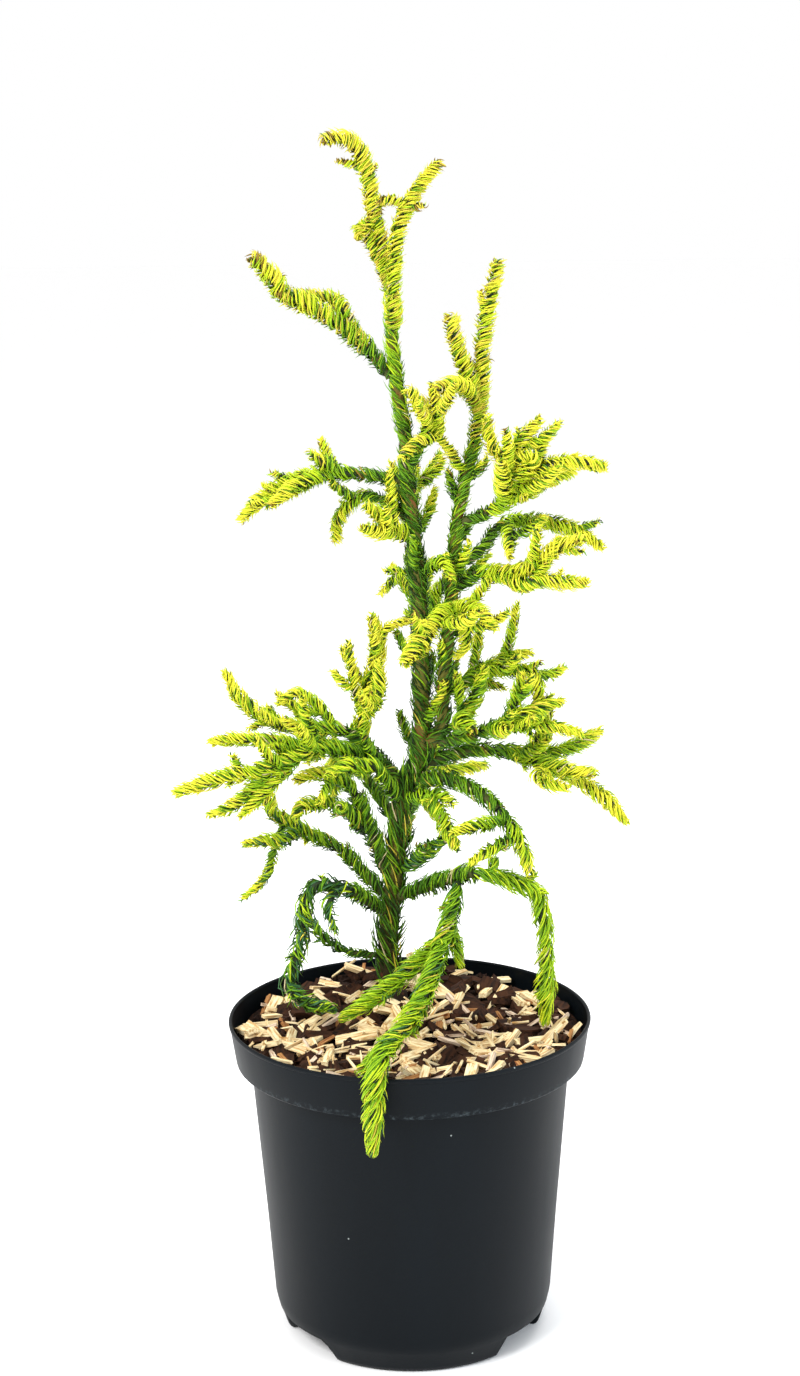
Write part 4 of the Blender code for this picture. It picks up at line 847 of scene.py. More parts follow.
MASSES = (
    ("leader_shoots", "trunk", "tip", shoot(
        0, 7.6, arc(190, 78, 62, 0, 2), arc(195, 84, 20, 0, -19), arc(200, 60, 25, 0, -85),
        forks=(
            shoot(0.04, 6.6, arc(195, 25, 52, 0, 115)),
            shoot(0.47, 4.8, arc(345, 40, 12, 0, -40)),
            shoot(0.67, 4.4, arc(190, 25, 17, 0, -15)),
        ))),
    ("second_leader_shoots", "trunk", 600, shoot(
        0, 6.8, arc(276, 52, 32, 0, 36), arc(0, 89, 26, 0, -3), arc(15, 82, 20, 0, -20),
        arc(10, 64, 34, 0, -22),
        forks=(
            shoot(0.70, 5.4, arc(330, 5, 11)),
            shoot(0.70, 5.0, arc(200, 40, 19, 0, -60)),
        ))),
    ("left_arm_shoots", "left_arm_bough", "tip", shoot(
        0, 8.6, arc(190, 46, 44, 0, -14), arc(186, 28, 20, 0, -4), arc(200, 54, 28, 0, -10),
        forks=(
            shoot(0.06, 6.4, arc(158, 80, 28, 0, -40), arc(178, 36, 26, 0, -34)),
            shoot(0.62, 5.4, arc(205, 5, 12, 0, 20)),
        ))),
    ("right_leader_shoots", "second_stem", "tip", shoot(
        0, 7.4, arc(20, 77, 56, 0, 16), arc(10, 82, 51, 0, -8),
        forks=(
            shoot(0.15, 7.4, arc(232, 74, 50, 0, -100)),
            shoot(0.24, 8.0, arc(204, 56, 54, 0, 26)),
            shoot(0.72, 4.6, arc(195, 55, 13, 0, 30)),
        ))),
    ("inner_fan_shoots", "second_stem", 520, shoot(
        0, 5.4, arc(215, 60, 34, 0, -14),
        forks=(
            shoot(0.90, 6.6, arc(264, 58, 34, 0, 25)),
            shoot(0.92, 8.6, arc(205, 58, 34, 0, -6)),
            shoot(0.94, 7.4, arc(214, 0, 29, 0, -46)),
        ))),
    ("right_upper_shoots", "right_upper_bough", "tip", shoot(
        0, 7.6, arc(334, 28, 16, 0, 8), arc(346, 58, 64, 0, -78),
        forks=(
            shoot(0.03, 7.0, arc(210, 82, 54, 0, 8)),
            shoot(0.16, 8.6, arc(262, 50, 36, 0, -10)),
            shoot(0.22, 7.0, arc(352, 100, 50, 0, -62)),
            shoot(0.18, 7.4, arc(30, 20, 48, 0, -8)),
            shoot(0.80, 4.6, arc(5, -30, 14, 0, 20)),
        ))),
    ("right_second_shoots", "right_second_bough", "tip", shoot(
        0, 7.4, arc(5, 34, 12, 0, -20), arc(348, 6, 56, 0, -44),
        forks=(
            shoot(0.14, 6.4, arc(268, -18, 34, 0, -20)),
            shoot(0.74, 4.6, arc(10, 25, 15, 0, -10)),
        ))),
    ("right_third_shoots", "right_third_bough", "tip", shoot(
        0, 8.2, arc(332, 28, 26, 0, -4), arc(344, 20, 42, 0, -10),
        forks=(
            shoot(0.10, 7.6, arc(322, -20, 36, 6, 34), arc(342, 0, 29, 0, 0)),
            shoot(0.80, 4.8, arc(345, -20, 14, 0, 20)),
        ))),
    ("front_shoots", "second_stem", 440, shoot(
        0, 7.0, arc(270, 22, 18, 0, 0),
        forks=(
            shoot(0.72, 7.6, arc(322, 18, 35, 0, -70)),
            shoot(0.80, 9.4, arc(238, -20, 58, 0, -10)),
            shoot(0.50, 6.6, arc(330, -20, 36, -20, -130)),
        ))),
    ("inner_right_shoots", "trunk", 462, shoot(
        0, 5.6, arc(318, 76, 36, 0, -150),
        forks=(shoot(0.30, 4.6, arc(330, 70, 14, 0, -60)),),)),
    ("left_inner_shoots", "trunk", 463, shoot(
        0, 5.4, arc(165, 10, 12, 0, 0),
        forks=(
            shoot(0.60, 5.4, arc(175, 20, 11, 0, -40)),
            shoot(0.60, 5.4, arc(172, -40, 19, 0, -10)),
        ))),
    ("left_tier_shoots", "left_tier_bough", "tip", shoot(
        0, 7.6, arc(184, 5, 16, 0, 0), arc(176, -2, 62, 0, -50),
        forks=(
            shoot(0.14, 7.6, arc(205, 30, 22, 0, 8)),
            shoot(0.16, 7.6, arc(206, -4, 46, 0, -34)),
            shoot(0.52, 4.8, arc(190, 30, 12, 0, -10)),
        ))),
    ("left_second_shoots", "left_second_bough", "tip", shoot(
        0, 6.6, arc(172, 18, 11, 0, -26), arc(178, -24, 32, 0, -72))),
    ("left_third_shoots", "trunk", 480, shoot(
        0, 8.4, arc(204, 42, 41, 0, -4),
        forks=(shoot(0.22, 7.8, arc(232, 8, 34, 0, 4)),),)),
    ("left_upright_shoots", "left_spread_bough", 0.68, shoot(
        0, 8.6, arc(236, 68, 18, 0, 16), arc(0, 79, 32, 0, -6), arc(0, 74, 32, 0, 36),
        forks=(
            shoot(0.14, 7.6, arc(318, 34, 42, 0, 72)),
            shoot(0.18, 5.6, arc(192, 74, 46, 0, 12)),
            shoot(0.70, 5.0, arc(8, 84, 32, 0, -88)),
        ))),
    ("left_spread_shoots", "left_spread_bough", "tip", shoot(
        0, 8.0, arc(184, 22, 16, 0, -26), arc(180, -2, 30, 0, 20), arc(180, 22, 42, 0, 50),
        forks=(
            shoot(0.10, 5.8, arc(166, 66, 32, 0, -44), arc(200, -18, 14, 0, -10)),
            shoot(0.56, 5.4, arc(200, -26, 13, 0, 10)),
        ))),
    ("left_outer_shoots", "left_spread_bough", 0.40, shoot(
        0, 8.0, arc(212, 27, 46, -8, -22), arc(200, -20, 40, 0, 8), arc(188, -4, 48, 0, -18),
        forks=(
            shoot(0.22, 6.8, arc(198, 34, 34, 0, 2)),
            shoot(0.32, 7.0, arc(186, 20, 60, 0, -26)),
            shoot(0.38, 6.6, arc(206, -40, 50, 0, 0)),
            shoot(0.54, 7.0, arc(200, -60, 46, 0, 50)),
            shoot(0.68, 5.2, arc(230, 66, 14, 0, -10)),
        ))),
    ("left_rising_shoots", "left_rising_bough", "tip", shoot(
        0, 8.0, arc(198, 58, 16, 0, -24), arc(190, 30, 26, 0, -58),
        forks=(shoot(0.46, 6.2, arc(240, -30, 20, 0, -10)),),)),
    ("left_arch_shoots", "trunk", 314, shoot(
        0, 7.6, arc(242, 68, 46, -18, -34), arc(204, 16, 28, 0, -38))),
    ("left_curled_shoots", "left_rising_bough", 0.32, shoot(
        0, 7.4, arc(218, 55, 42, -6, -12), arc(196, 30, 22, 0, -50), arc(200, -40, 9, 0, -30),
        forks=(shoot(0.45, 7.0, arc(275, 10, 16, 0, 10)),),)),
    ("left_low_shoots", "left_low_bough", "tip", shoot(
        0, 8.4, arc(184, 24, 49, 0, 12), arc(172, 68, 22, 0, 8),
        forks=(
            shoot(0.40, 7.6, arc(232, -8, 20, 0, 0), arc(200, 14, 22, 0, -24)),
            shoot(0.56, 5.0, arc(215, -56, 32, 0, -20), arc(200, -60, 24, 0, 34)),
        ))),
    ("left_loop_shoots", "left_loop_bough", "tip", shoot(
        0, 8.2, arc(206, 36, 27, 0, -40), arc(214, -52, 30, 0, -40), arc(212, -76, 33, 0, 6),
        arc(325, -46, 31, 20, 54),
        forks=(shoot(0.06, 6.8, arc(262, -24, 30, 0, -44)),),)),
    ("left_thin_shoots", "left_thin_bough", "tip", shoot(
        0, 5.8, arc(186, 24, 22, 0, 26), arc(178, 56, 22, 0, 20))),
    ("right_high_shoots", "second_stem", 388, shoot(
        0, 7.6, arc(8, 44, 24, 0, -20), arc(345, 26, 36, 0, -48), arc(312, -50, 20, 0, -56),
        forks=(
            shoot(0.10, 7.0, arc(26, 31, 50, 0, -26)),
            shoot(0.16, 6.4, arc(352, -4, 22, 0, -10)),
        ))),
    ("right_middle_shoots", "right_middle_bough", "tip", shoot(
        0, 8.0, arc(340, 22, 26, 0, 6), arc(18, 30, 30, 0, -26),
        forks=(
            shoot(0.08, 6.6, arc(350, 16, 60, 0, -32)),
            shoot(0.18, 9.4, arc(290, 8, 26, 0, 4)),
            shoot(0.32, 7.0, arc(6, 52, 32, 0, 34)),
            shoot(0.52, 5.0, arc(322, -26, 14, 0, -50)),
        ))),
    ("right_inner_shoots", "right_middle_bough", 0.36, shoot(
        0, 7.4, arc(300, 48, 14, 0, 0), arc(345, 60, 38, 0, 14),
        forks=(shoot(0.16, 9.6, arc(290, 6, 24, 0, 0)),),)),
    ("right_reaching_shoots", "right_reaching_bough", "tip", shoot(
        0, 7.6, arc(2, -6, 30, 0, -8), arc(350, -26, 34, 0, -8), arc(340, -26, 32, 0, -28),
        forks=(
            shoot(0.08, 8.0, arc(338, -20, 60, 0, 22)),
            shoot(0.04, 7.0, arc(318, -32, 58, 0, 34)),
            shoot(0.30, 7.8, arc(24, -2, 46, 0, 32)),
        ))),
    ("right_drooping_shoots", "right_drooping_bough", "tip", shoot(
        0, 8.0, arc(330, -46, 24, 0, -14), arc(335, -64, 18, 0, -10),
        forks=(
            shoot(0.22, 7.0, arc(208, 4, 36, 0, -14)),
            shoot(0.48, 6.4, arc(222, -6, 38, 0, -12)),
        ))),
    ("front_low_shoots", "trunk", 324, shoot(
        0, 8.0, arc(286, 42, 38, 36, -86), arc(318, -54, 26, 0, 0),
        forks=(shoot(0.30, 7.0, arc(332, 26, 20, 0, -66)),),)),
    ("right_lower_inner_shoots", "trunk", 272, shoot(
        0, 7.8, arc(324, 44, 48, 0, -10),
        forks=(shoot(0.30, 4.8, arc(295, 48, 20, 0, -20)),),)),
    ("right_hanging_shoots", "lower_right_bough", "tip", shoot(
        0, 8.6, arc(350, -4, 40, 0, -26), arc(330, -70, 28, 0, -14), arc(260, -84, 50, 0, -4),
        forks=(
            shoot(0.22, 5.0, arc(350, 20, 12, 0, 20)),
            shoot(0.07, 8.6, arc(50, 56, 10)),
        ))),
    ("front_hanging_shoots", "lower_right_bough", 0.82, shoot(
        0, 9.6, arc(250, -50, 38, 0, 6), arc(249, -38, 52, 0, 8), arc(240, -24, 46, 0, 8),
        arc(245, -20, 26, 0, -64), arc(250, -86, 32),
        forks=(
            shoot(0.18, 8.4, arc(200, -42, 36, 0, 4), arc(203, -32, 42, 0, 10)),
            shoot(0.28, 7.2, arc(222, -52, 36, 0, -6)),
            shoot(0.14, 7.0, arc(330, -66, 25, 0, -14)),
            shoot(0.64, 7.6, arc(205, -32, 24, 0, -6)),
        ))),
    ("back_low_shoots", "back_low_bough", "tip", shoot(
        0, 8.0, arc(80, 24, 60, 0, -50),
        forks=(
            shoot(0.04, 7.4, arc(35, 30, 60, 0, -34), forks=(
                shoot(0.45, 6.0, arc(70, 26, 26, 0, -10)),)),
            shoot(0.30, 7.0, arc(118, 16, 50, 0, -40)),
            shoot(0.20, 6.6, arc(70, -14, 46, 0, -40)),
        ))),
    ("back_left_shoots", "back_left_bough", "tip", shoot(
        0, 7.6, arc(118, 20, 56, 0, -46),
        forks=(
            shoot(0.04, 7.0, arc(156, 26, 54, 0, -34), forks=(
                shoot(0.50, 6.0, arc(120, 30, 24, 0, -10)),)),
            shoot(0.24, 7.0, arc(92, 34, 48, 0, -20)),
            shoot(0.30, 6.4, arc(125, -24, 40, 0, -40)),
        ))),
    ("back_middle_shoots", "back_middle_bough", "tip", shoot(
        0, 7.2, arc(84, 26, 62, 0, -44),
        forks=(
            shoot(0.10, 6.8, arc(48, 58, 48, 0, -24)),
            shoot(0.20, 6.4, arc(126, 44, 44, 0, -10)),
            shoot(0.34, 6.8, arc(112, 8, 42, 0, -50)),
        ))),
    ("back_upper_shoots", "back_upper_bough", "tip", shoot(
        0, 6.8, arc(92, 34, 54, 0, -44),
        forks=(
            shoot(0.16, 6.4, arc(104, 76, 42, 0, -14)),
            shoot(0.40, 5.8, arc(52, 34, 30, 0, -10)),
        ))),
)


def shoot_radii(points, girth, rooted):
    """Radii of a shoot: full along its length, rounded off at its tip, slim at a sunk root."""
    lengths = path_lengths(points)
    radii = []
    for length in lengths:
        share = min(1.0, (lengths[-1] - length) / TIP_LENGTH)
        radii.append(girth / 2 * (TIP_WIDTH + (1 - TIP_WIDTH) * share ** TIP_ROUNDNESS))
    if rooted:
        radii[0] = girth / 2 * ROOT_SLIM
    return radii


def grow_shoot(plan, seat, root, others):
    """A shoot and all its forks, each eased clear of the limbs round it."""
    points = arc_points(root, plan["arcs"], SHOOT_STEP)
    radii = shoot_radii(points, plan["girth"], seat is None)
    if seat:
        limb = seated_limb(points, radii, seat, others)
    else:
        limb = make_limb(points, radii)
        bend_clear(limb, others)
    limb["girth"] = plan["girth"]
    grown = [limb]
    for fork in plan["forks"]:
        nearest = (fork["girth"] * ROOT_SLIM / 2 + FORK_CLEAR) / limb["lengths"][-1]
        place = point_at(limb, max(nearest, fork["share"]))[0]
        grown += grow_shoot(fork, None, place, others)
    return grown


def spiral(limb, spacing, chance):
    """Places along a limb in a golden-angle spiral: point, direction and the way outward."""
    length = limb["lengths"][-1]
    spin = chance.uniform(0, 360)
    for index in range(int((length - TIP_LENGTH) / spacing)):
        share = (index + 0.7 + chance.uniform(-0.2, 0.2)) * spacing / length
        point, along = point_at(limb, share)
        spin += GOLDEN_ANGLE
        across = Matrix.Rotation(math.radians(spin), 3, along) @ along.orthogonal()
        yield point, along, across.normalized()


def is_free(limb, others):
    """Whether a side shoot stays above the rim and clear of the limbs round it."""
    above_rim = min(point.z for point in limb["points"]) > POT_HEIGHT + RIM_CLEAR
    return above_rim and is_clear(limb, others, SHOOT_CLEAR)


def grow_twigs(grown, chance, others):
    """Short side twigs by a seeded rule, left out where they would touch another limb."""
    twigs = []
    for limb in grown:
        for point, along, across in spiral(limb, TWIG_SPACING, chance):
            reach = chance.uniform(*TWIG_LENGTH)
            points = [point]
            for forward, share in TWIG_BENDS:
                points.append(points[-1] + (along * forward + across).normalized() * reach * share)
            twig = make_limb(points, shoot_radii(points, limb["girth"] * TWIG_GIRTH, True))
            if is_free(twig, others):
                twigs.append(twig)
    return twigs


def grow_curls(grown, chance, others):
    """Finer side curls between the twigs, each bent over sideways at its end."""
    curls = []
    for limb in grown:
        for point, along, across in spiral(limb, CURL_SPACING, chance):
            reach = chance.uniform(*CURL_LENGTH)
            side = along.cross(across)
            points = [point]
            for lean in CURL_LEANS:
                step = (along * 0.5 + across * (1.2 - lean * 0.3) + side * lean * 0.6).normalized()
                points.append(points[-1] + step * reach / len(CURL_LEANS))
            curl = make_limb(points, shoot_radii(points, limb["girth"] * CURL_GIRTH, True))
            if is_free(curl, others):
                curls.append(curl)
    return curls


def grow_sprigs(carriers, chance):
    """Leafy side sprigs in the heart of the crown, each turned up and out to the light."""
    sprigs = []
    for limb in carriers:
        for point, along, across in spiral(limb, SPRIG_SPACING, chance):
            outward = Vector((point.x - CROWN_HEART[0], point.y - CROWN_HEART[1], 0))
            if outward.length > HEART_RADIUS or not HEART_LOW < point.z < HEART_HIGH:
                continue
            reach = chance.uniform(*SPRIG_LENGTH)
            way = (along * 0.5 + across + outward.normalized() * 0.5).normalized()
            points = [point]
            for _ in range(SPRIG_STEPS):
                way = (way + Vector((0, 0, SPRIG_LIFT))).normalized()
                points.append(points[-1] + way * reach / SPRIG_STEPS)
            sprigs.append(make_limb(points, shoot_radii(points, SPRIG_GIRTH, True)))
    return sprigs


foliage = {}
for name, carrier_name, place, plan in MASSES:
    seat = find_seat(carrier_name, place)
    others = list(limbs.values()) + [limb for grown in foliage.values() for limb in grown]
    foliage[name] = grow_shoot(plan, seat, seat["root"], others)
ropes = {name: list(grown) for name, grown in foliage.items()}
for number, name in enumerate(foliage):
    chance = random.Random(SEED + number)
    others = list(limbs.values())
    for other_name, grown in foliage.items():
        if other_name != name:
            others += grown
    foliage[name] += grow_twigs(foliage[name], chance, others)
    foliage[name] += grow_curls(ropes[name], chance, others)
    foliage[name] += grow_sprigs(ropes[name], chance)
stem_sprigs = grow_sprigs(limbs.values(), random.Random(SEED))

# The core of every rope: a soft stem half as wide as the rope, its green taken near black as
# painted shade under its needles.
CORE_SHARE = 0.5
CORE_STEP = 5.0
CORE_SIDES = 8
soft_stem, tree, shader = blank_finish("soft_green_stem")
place = add_node(tree, "ShaderNodeTexCoord").outputs["Object"]
shades = add_node(tree, "ShaderNodeTexNoise", {"Vector": place, "Scale": 240.0, "Detail": 3.0})
# Painted shade: the core's two greens are near black, standing in for the shade between the
# strands.
depth = add_node(tree, "ShaderNodeMix", {
    0: shades.outputs["Fac"], 6: paint("#0C1806"), 7: paint("#20340E")}, data_type="RGBA")
tree.links.new(depth.outputs[2], shader.inputs["Base Color"])
stem_relief = add_node(tree, "ShaderNodeBump", {
    "Height": shades.outputs["Fac"], "Strength": 0.4, "Distance": 0.0006})
tree.links.new(stem_relief.outputs["Normal"], shader.inputs["Normal"])
shader.inputs["Roughness"].default_value = 0.75

core_shape = bmesh.new()
for grown in [*foliage.values(), stem_sprigs]:
    for limb in grown:
        points, radii = fine_path(limb["points"], limb["radii"], CORE_STEP)
        rolled_skin(core_shape, points, [radius * CORE_SHARE for radius in radii], CORE_SIDES,
                    lambda length, turn, radius: 0.0)
bmesh.ops.recalc_face_normals(core_shape, faces=core_shape.faces)
shoot_cores = moulded_piece("shoot_cores", core_shape, soft_stem, smooth=180)
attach(shoot_cores, "root")
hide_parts(*foliage)

# The needles: slim three-sided sickles, mostly 6 to 17 mm long, curled round their stem and
# pressed forward, so each shoot reads as a twisted rope. One shape serves for all of them.
NEEDLE_SLIMS = (1.0, 0.96, 0.86, 0.68, 0.05)
NEEDLE_SECTION = (1.15, 0.85, 1.0)
NEEDLE_WIDTH = 1.04
LIFT_STOPS = (0.0, 0.2, 0.5, 0.8, 1.0)
LIFT_SHARES = (0.35, 0.74, 1.0, 1.13, 1.22)
FINE_STEP = 1.0
TIP_FLARE = 2.3
TIP_BRUSH = 3.2
BLUNT_SHARES = (0.5, 0.84)
SWELLS = 0.055
SWELL_RUNS = (5.2, 8.9)
BLUNT_LENGTH = 16.0
OVERHANG = 5.0
THIN_RADIUS = 1.2

blade = bmesh.new()
ring = bmesh.ops.create_circle(blade, cap_ends=True, segments=3, radius=0.5)["verts"]
bmesh.ops.scale(blade, vec=NEEDLE_SECTION, verts=ring)
edges = list(blade.edges)
for slim in NEEDLE_SLIMS:
    made = bmesh.ops.extrude_edge_only(blade, edges=edges)["geom"]
    ring = [item for item in made if isinstance(item, bmesh.types.BMVert)]
    edges = [item for item in made if isinstance(item, bmesh.types.BMEdge)
             and all(vert in ring for vert in item.verts)]
    bmesh.ops.translate(blade, vec=(0, 0, 1 / len(NEEDLE_SLIMS)), verts=ring)
    bmesh.ops.scale(blade, vec=(slim, slim, 1), verts=ring)
bmesh.ops.pointmerge(blade, verts=ring, merge_co=(0, 0, 1))
bmesh.ops.triangulate(blade, faces=blade.faces)
bmesh.ops.recalc_face_normals(blade, faces=blade.faces)
blade.verts.index_update()
blade_corners = np.array([vert.co for vert in blade.verts])
blade_faces = np.array([[vert.index for vert in face.verts] for face in blade.faces])
blade.free()


def rope_track(limb, blunt_share):
    """A rope's fine centre line: points, directions, both sides and radii, blunt at the tip."""
    points, radii = fine_path(limb["points"], limb["radii"], FINE_STEP)
    frames = ring_frames(points)
    lengths = np.array(path_lengths(points))
    even = np.arange(0, lengths[-1], FINE_STEP)
    columns = np.hstack([
        np.array(points), np.array([frame[0] for frame in frames]),
        np.array([frame[1] for frame in frames]), np.array(radii)[:, None]])
    track = np.stack([np.interp(even, lengths, column) for column in columns.T], axis=1)
    to_tip = even[-1] - even
    blunt = blunt_share * np.median(track[:, 9]) * np.interp(to_tip, (0, 2.5), (0.8, 1.0))
    track[:, 9] = np.where(to_tip < BLUNT_LENGTH, np.maximum(track[:, 9], blunt), track[:, 9])
    return track


def wrap_needles(track, starts, spins, lengths, pitches, hand, layers, flares, width):
    """Corners of needles laid round a rope, each from its own start and at its own pitch."""
    last = len(track) - 1
    share = blade_corners[None, :, 2]
    advance = (lengths * np.cos(pitches))[:, None]
    at_start = track[np.clip(starts, 0, last).astype(int), 9]
    sweep = (lengths * np.sin(pitches) / np.maximum(at_start, THIN_RADIUS))[:, None]
    lateral = blade_corners[None, :, 0] * width
    keel = blade_corners[None, :, 1] * width
    run = starts[:, None] + advance * share - lateral * np.sin(pitches)[:, None]
    place = np.clip(run, 0, last - 0.001)
    index = place.astype(int)
    part = (place - index)[..., None]
    row = track[index] * (1 - part) + track[index + 1] * part
    lift = np.interp(share, LIFT_STOPS, LIFT_SHARES)
    reach = row[..., 9] * lift * layers[:, None] + flares[:, None] * share ** 2.5 + keel
    angle = spins[:, None] + hand * (
        sweep * share + lateral * np.cos(pitches)[:, None] / np.maximum(reach, 1.0))
    across, beside = row[..., 3:6], row[..., 6:9]
    along = np.cross(across, beside)
    past = run - place
    over = np.sqrt(np.clip(1.0 - (past / OVERHANG) ** 2, 0.02, 1.0))
    out = across * np.cos(angle)[..., None] + beside * np.sin(angle)[..., None]
    return row[..., :3] + past[..., None] * along + out * (reach * over)[..., None]


# How each mass is dressed: how fresh it is at its root and at its tips, from 0 for old dark
# needles to 1 for this spring's; how loose its needles hang; and their angle off the rope. The
# shares after them bring in bronze ends, gold and blue-green needles as painted shade, and
# soften the painted shade of the inner layers in some masses and thin others.
SHOOT_LOOKS = {
    "leader_shoots": (0.62, 0.9, 0.15, 62), "second_leader_shoots": (0.66, 0.9, 0.15, 58),
    "left_arm_shoots": (0.4, 0.86, 0.35, 58), "right_leader_shoots": (0.6, 0.92, 0.15, 60),
    "inner_fan_shoots": (0.74, 0.95, 0.15, 55), "right_upper_shoots": (0.6, 0.98, 0.2, 52),
    "right_second_shoots": (0.42, 0.9, 0.25, 50), "right_third_shoots": (0.62, 0.98, 0.2, 50),
    "front_shoots": (0.62, 0.98, 0.2, 52), "inner_right_shoots": (0.4, 0.8, 0.35, 48),
    "left_inner_shoots": (0.5, 0.88, 0.3, 50), "left_tier_shoots": (0.45, 0.95, 0.2, 50),
    "left_second_shoots": (0.45, 0.9, 0.3, 50), "left_third_shoots": (0.7, 0.95, 0.2, 50),
    "left_upright_shoots": (0.66, 0.98, 0.25, 46), "left_spread_shoots": (0.45, 0.98, 0.25, 42),
    "left_outer_shoots": (0.36, 0.96, 0.3, 42), "left_rising_shoots": (0.36, 0.92, 0.4, 42),
    "left_arch_shoots": (0.34, 0.72, 0.6, 44), "left_curled_shoots": (0.28, 0.75, 0.7, 48),
    "left_low_shoots": (0.3, 0.88, 0.45, 44), "left_loop_shoots": (0.3, 0.42, 0.95, 38),
    "left_thin_shoots": (0.2, 0.45, 0.7, 44), "right_high_shoots": (0.4, 0.9, 0.3, 42),
    "right_middle_shoots": (0.3, 0.92, 0.35, 42), "right_inner_shoots": (0.3, 0.8, 0.45, 44),
    "right_reaching_shoots": (0.4, 0.95, 0.3, 40), "right_drooping_shoots": (0.35, 0.92, 0.35, 42),
    "front_low_shoots": (0.36, 0.8, 0.5, 46), "right_lower_inner_shoots": (0.25, 0.5, 0.6, 46),
    "right_hanging_shoots": (0.54, 0.72, 0.3, 30), "front_hanging_shoots": (0.44, 0.7, 0.35, 32),
    "back_low_shoots": (0.3, 0.88, 0.35, 44), "back_left_shoots": (0.3, 0.88, 0.35, 44),
    "back_middle_shoots": (0.4, 0.9, 0.3, 46), "back_upper_shoots": (0.5, 0.92, 0.25, 50),
}
NEEDLE_TONES = ("dark", "deep", "mid", "fresh", "lime", "bright")
NEEDLE_COLOURS = {
    "dark": ("#22380E", "needle_green_deep"), "deep": ("#3E6A12", "needle_green_deep"),
    "mid": ("#66961A", "needle_green_mid"), "fresh": ("#92BA1C", "needle_green_lime"),
    "lime": ("#C0D624", "needle_green_lime"), "bright": ("#EAE63E", "needle_green_lime"),
    "blue": ("#3F6A40", "needle_green_deep"), "bronze": ("#8C7428", "needle_green_mid"),
    "gold": ("#D6C444", "needle_green_mid"), "straw": ("#D6C596", "needle_green_mid"),
}
BRONZE_TIPS = {"leader_shoots": 0.6, "left_arm_shoots": 0.6, "right_leader_shoots": 0.35,
               "second_leader_shoots": 0.35, "front_hanging_shoots": 0.2}
GOLD_SHARES = {"leader_shoots": 0.3, "left_arm_shoots": 0.2, "right_leader_shoots": 0.25,
               "second_leader_shoots": 0.2, "inner_fan_shoots": 0.12}
# Blue-green needles: a darker grey-green dealt into the low, inner masses as painted shade.
SHADE_BLUE_SHARES = {"left_loop_shoots": 0.25, "front_hanging_shoots": 0.03, "left_thin_shoots": 0.25,
               "left_low_shoots": 0.12, "right_lower_inner_shoots": 0.2}
# Needles lie in four layers out from the stem; the inner layers also take darker tones as painted
# shade, the outermost a little lighter.
LAYERS = (0.72, 0.84, 0.99, 1.04)
LAYER_SHARES = (0.14, 0.16, 0.38, 0.32)
COVER = 1.65
STRAND_GAP = 2.15
LAYER_PAINTED_SHADE = 1.6
NEEDLE_REACH = 7.5
BRONZE_REACH = 9.0
STRAW_SHARE = 0.008
LENGTH_SPREAD = (0.85, 1.15)
# Each spread is given for a tight rope, with what it gains where the needles hang fully loose.
TWIST_SPREAD = (0.05, 0.25)
PITCH_SPREAD = (3.0, 12.0)
TONE_SPREAD = (0.05, 0.12)
LOOSE_LIFT = 0.16
LOOSE_FLARE = 1.3
LOOSE_WIDTH = 0.25
# The hanging masses get less of the painted shade between layers.
SOFT_SHADE_SHOOTS = {"right_hanging_shoots": 0.7, "front_hanging_shoots": 0.7}
SPARSE_SHOOTS = {"left_loop_shoots": 0.62, "left_thin_shoots": 0.62, "left_low_shoots": 0.85}
dealt = {tone: [] for tone in NEEDLE_COLOURS}


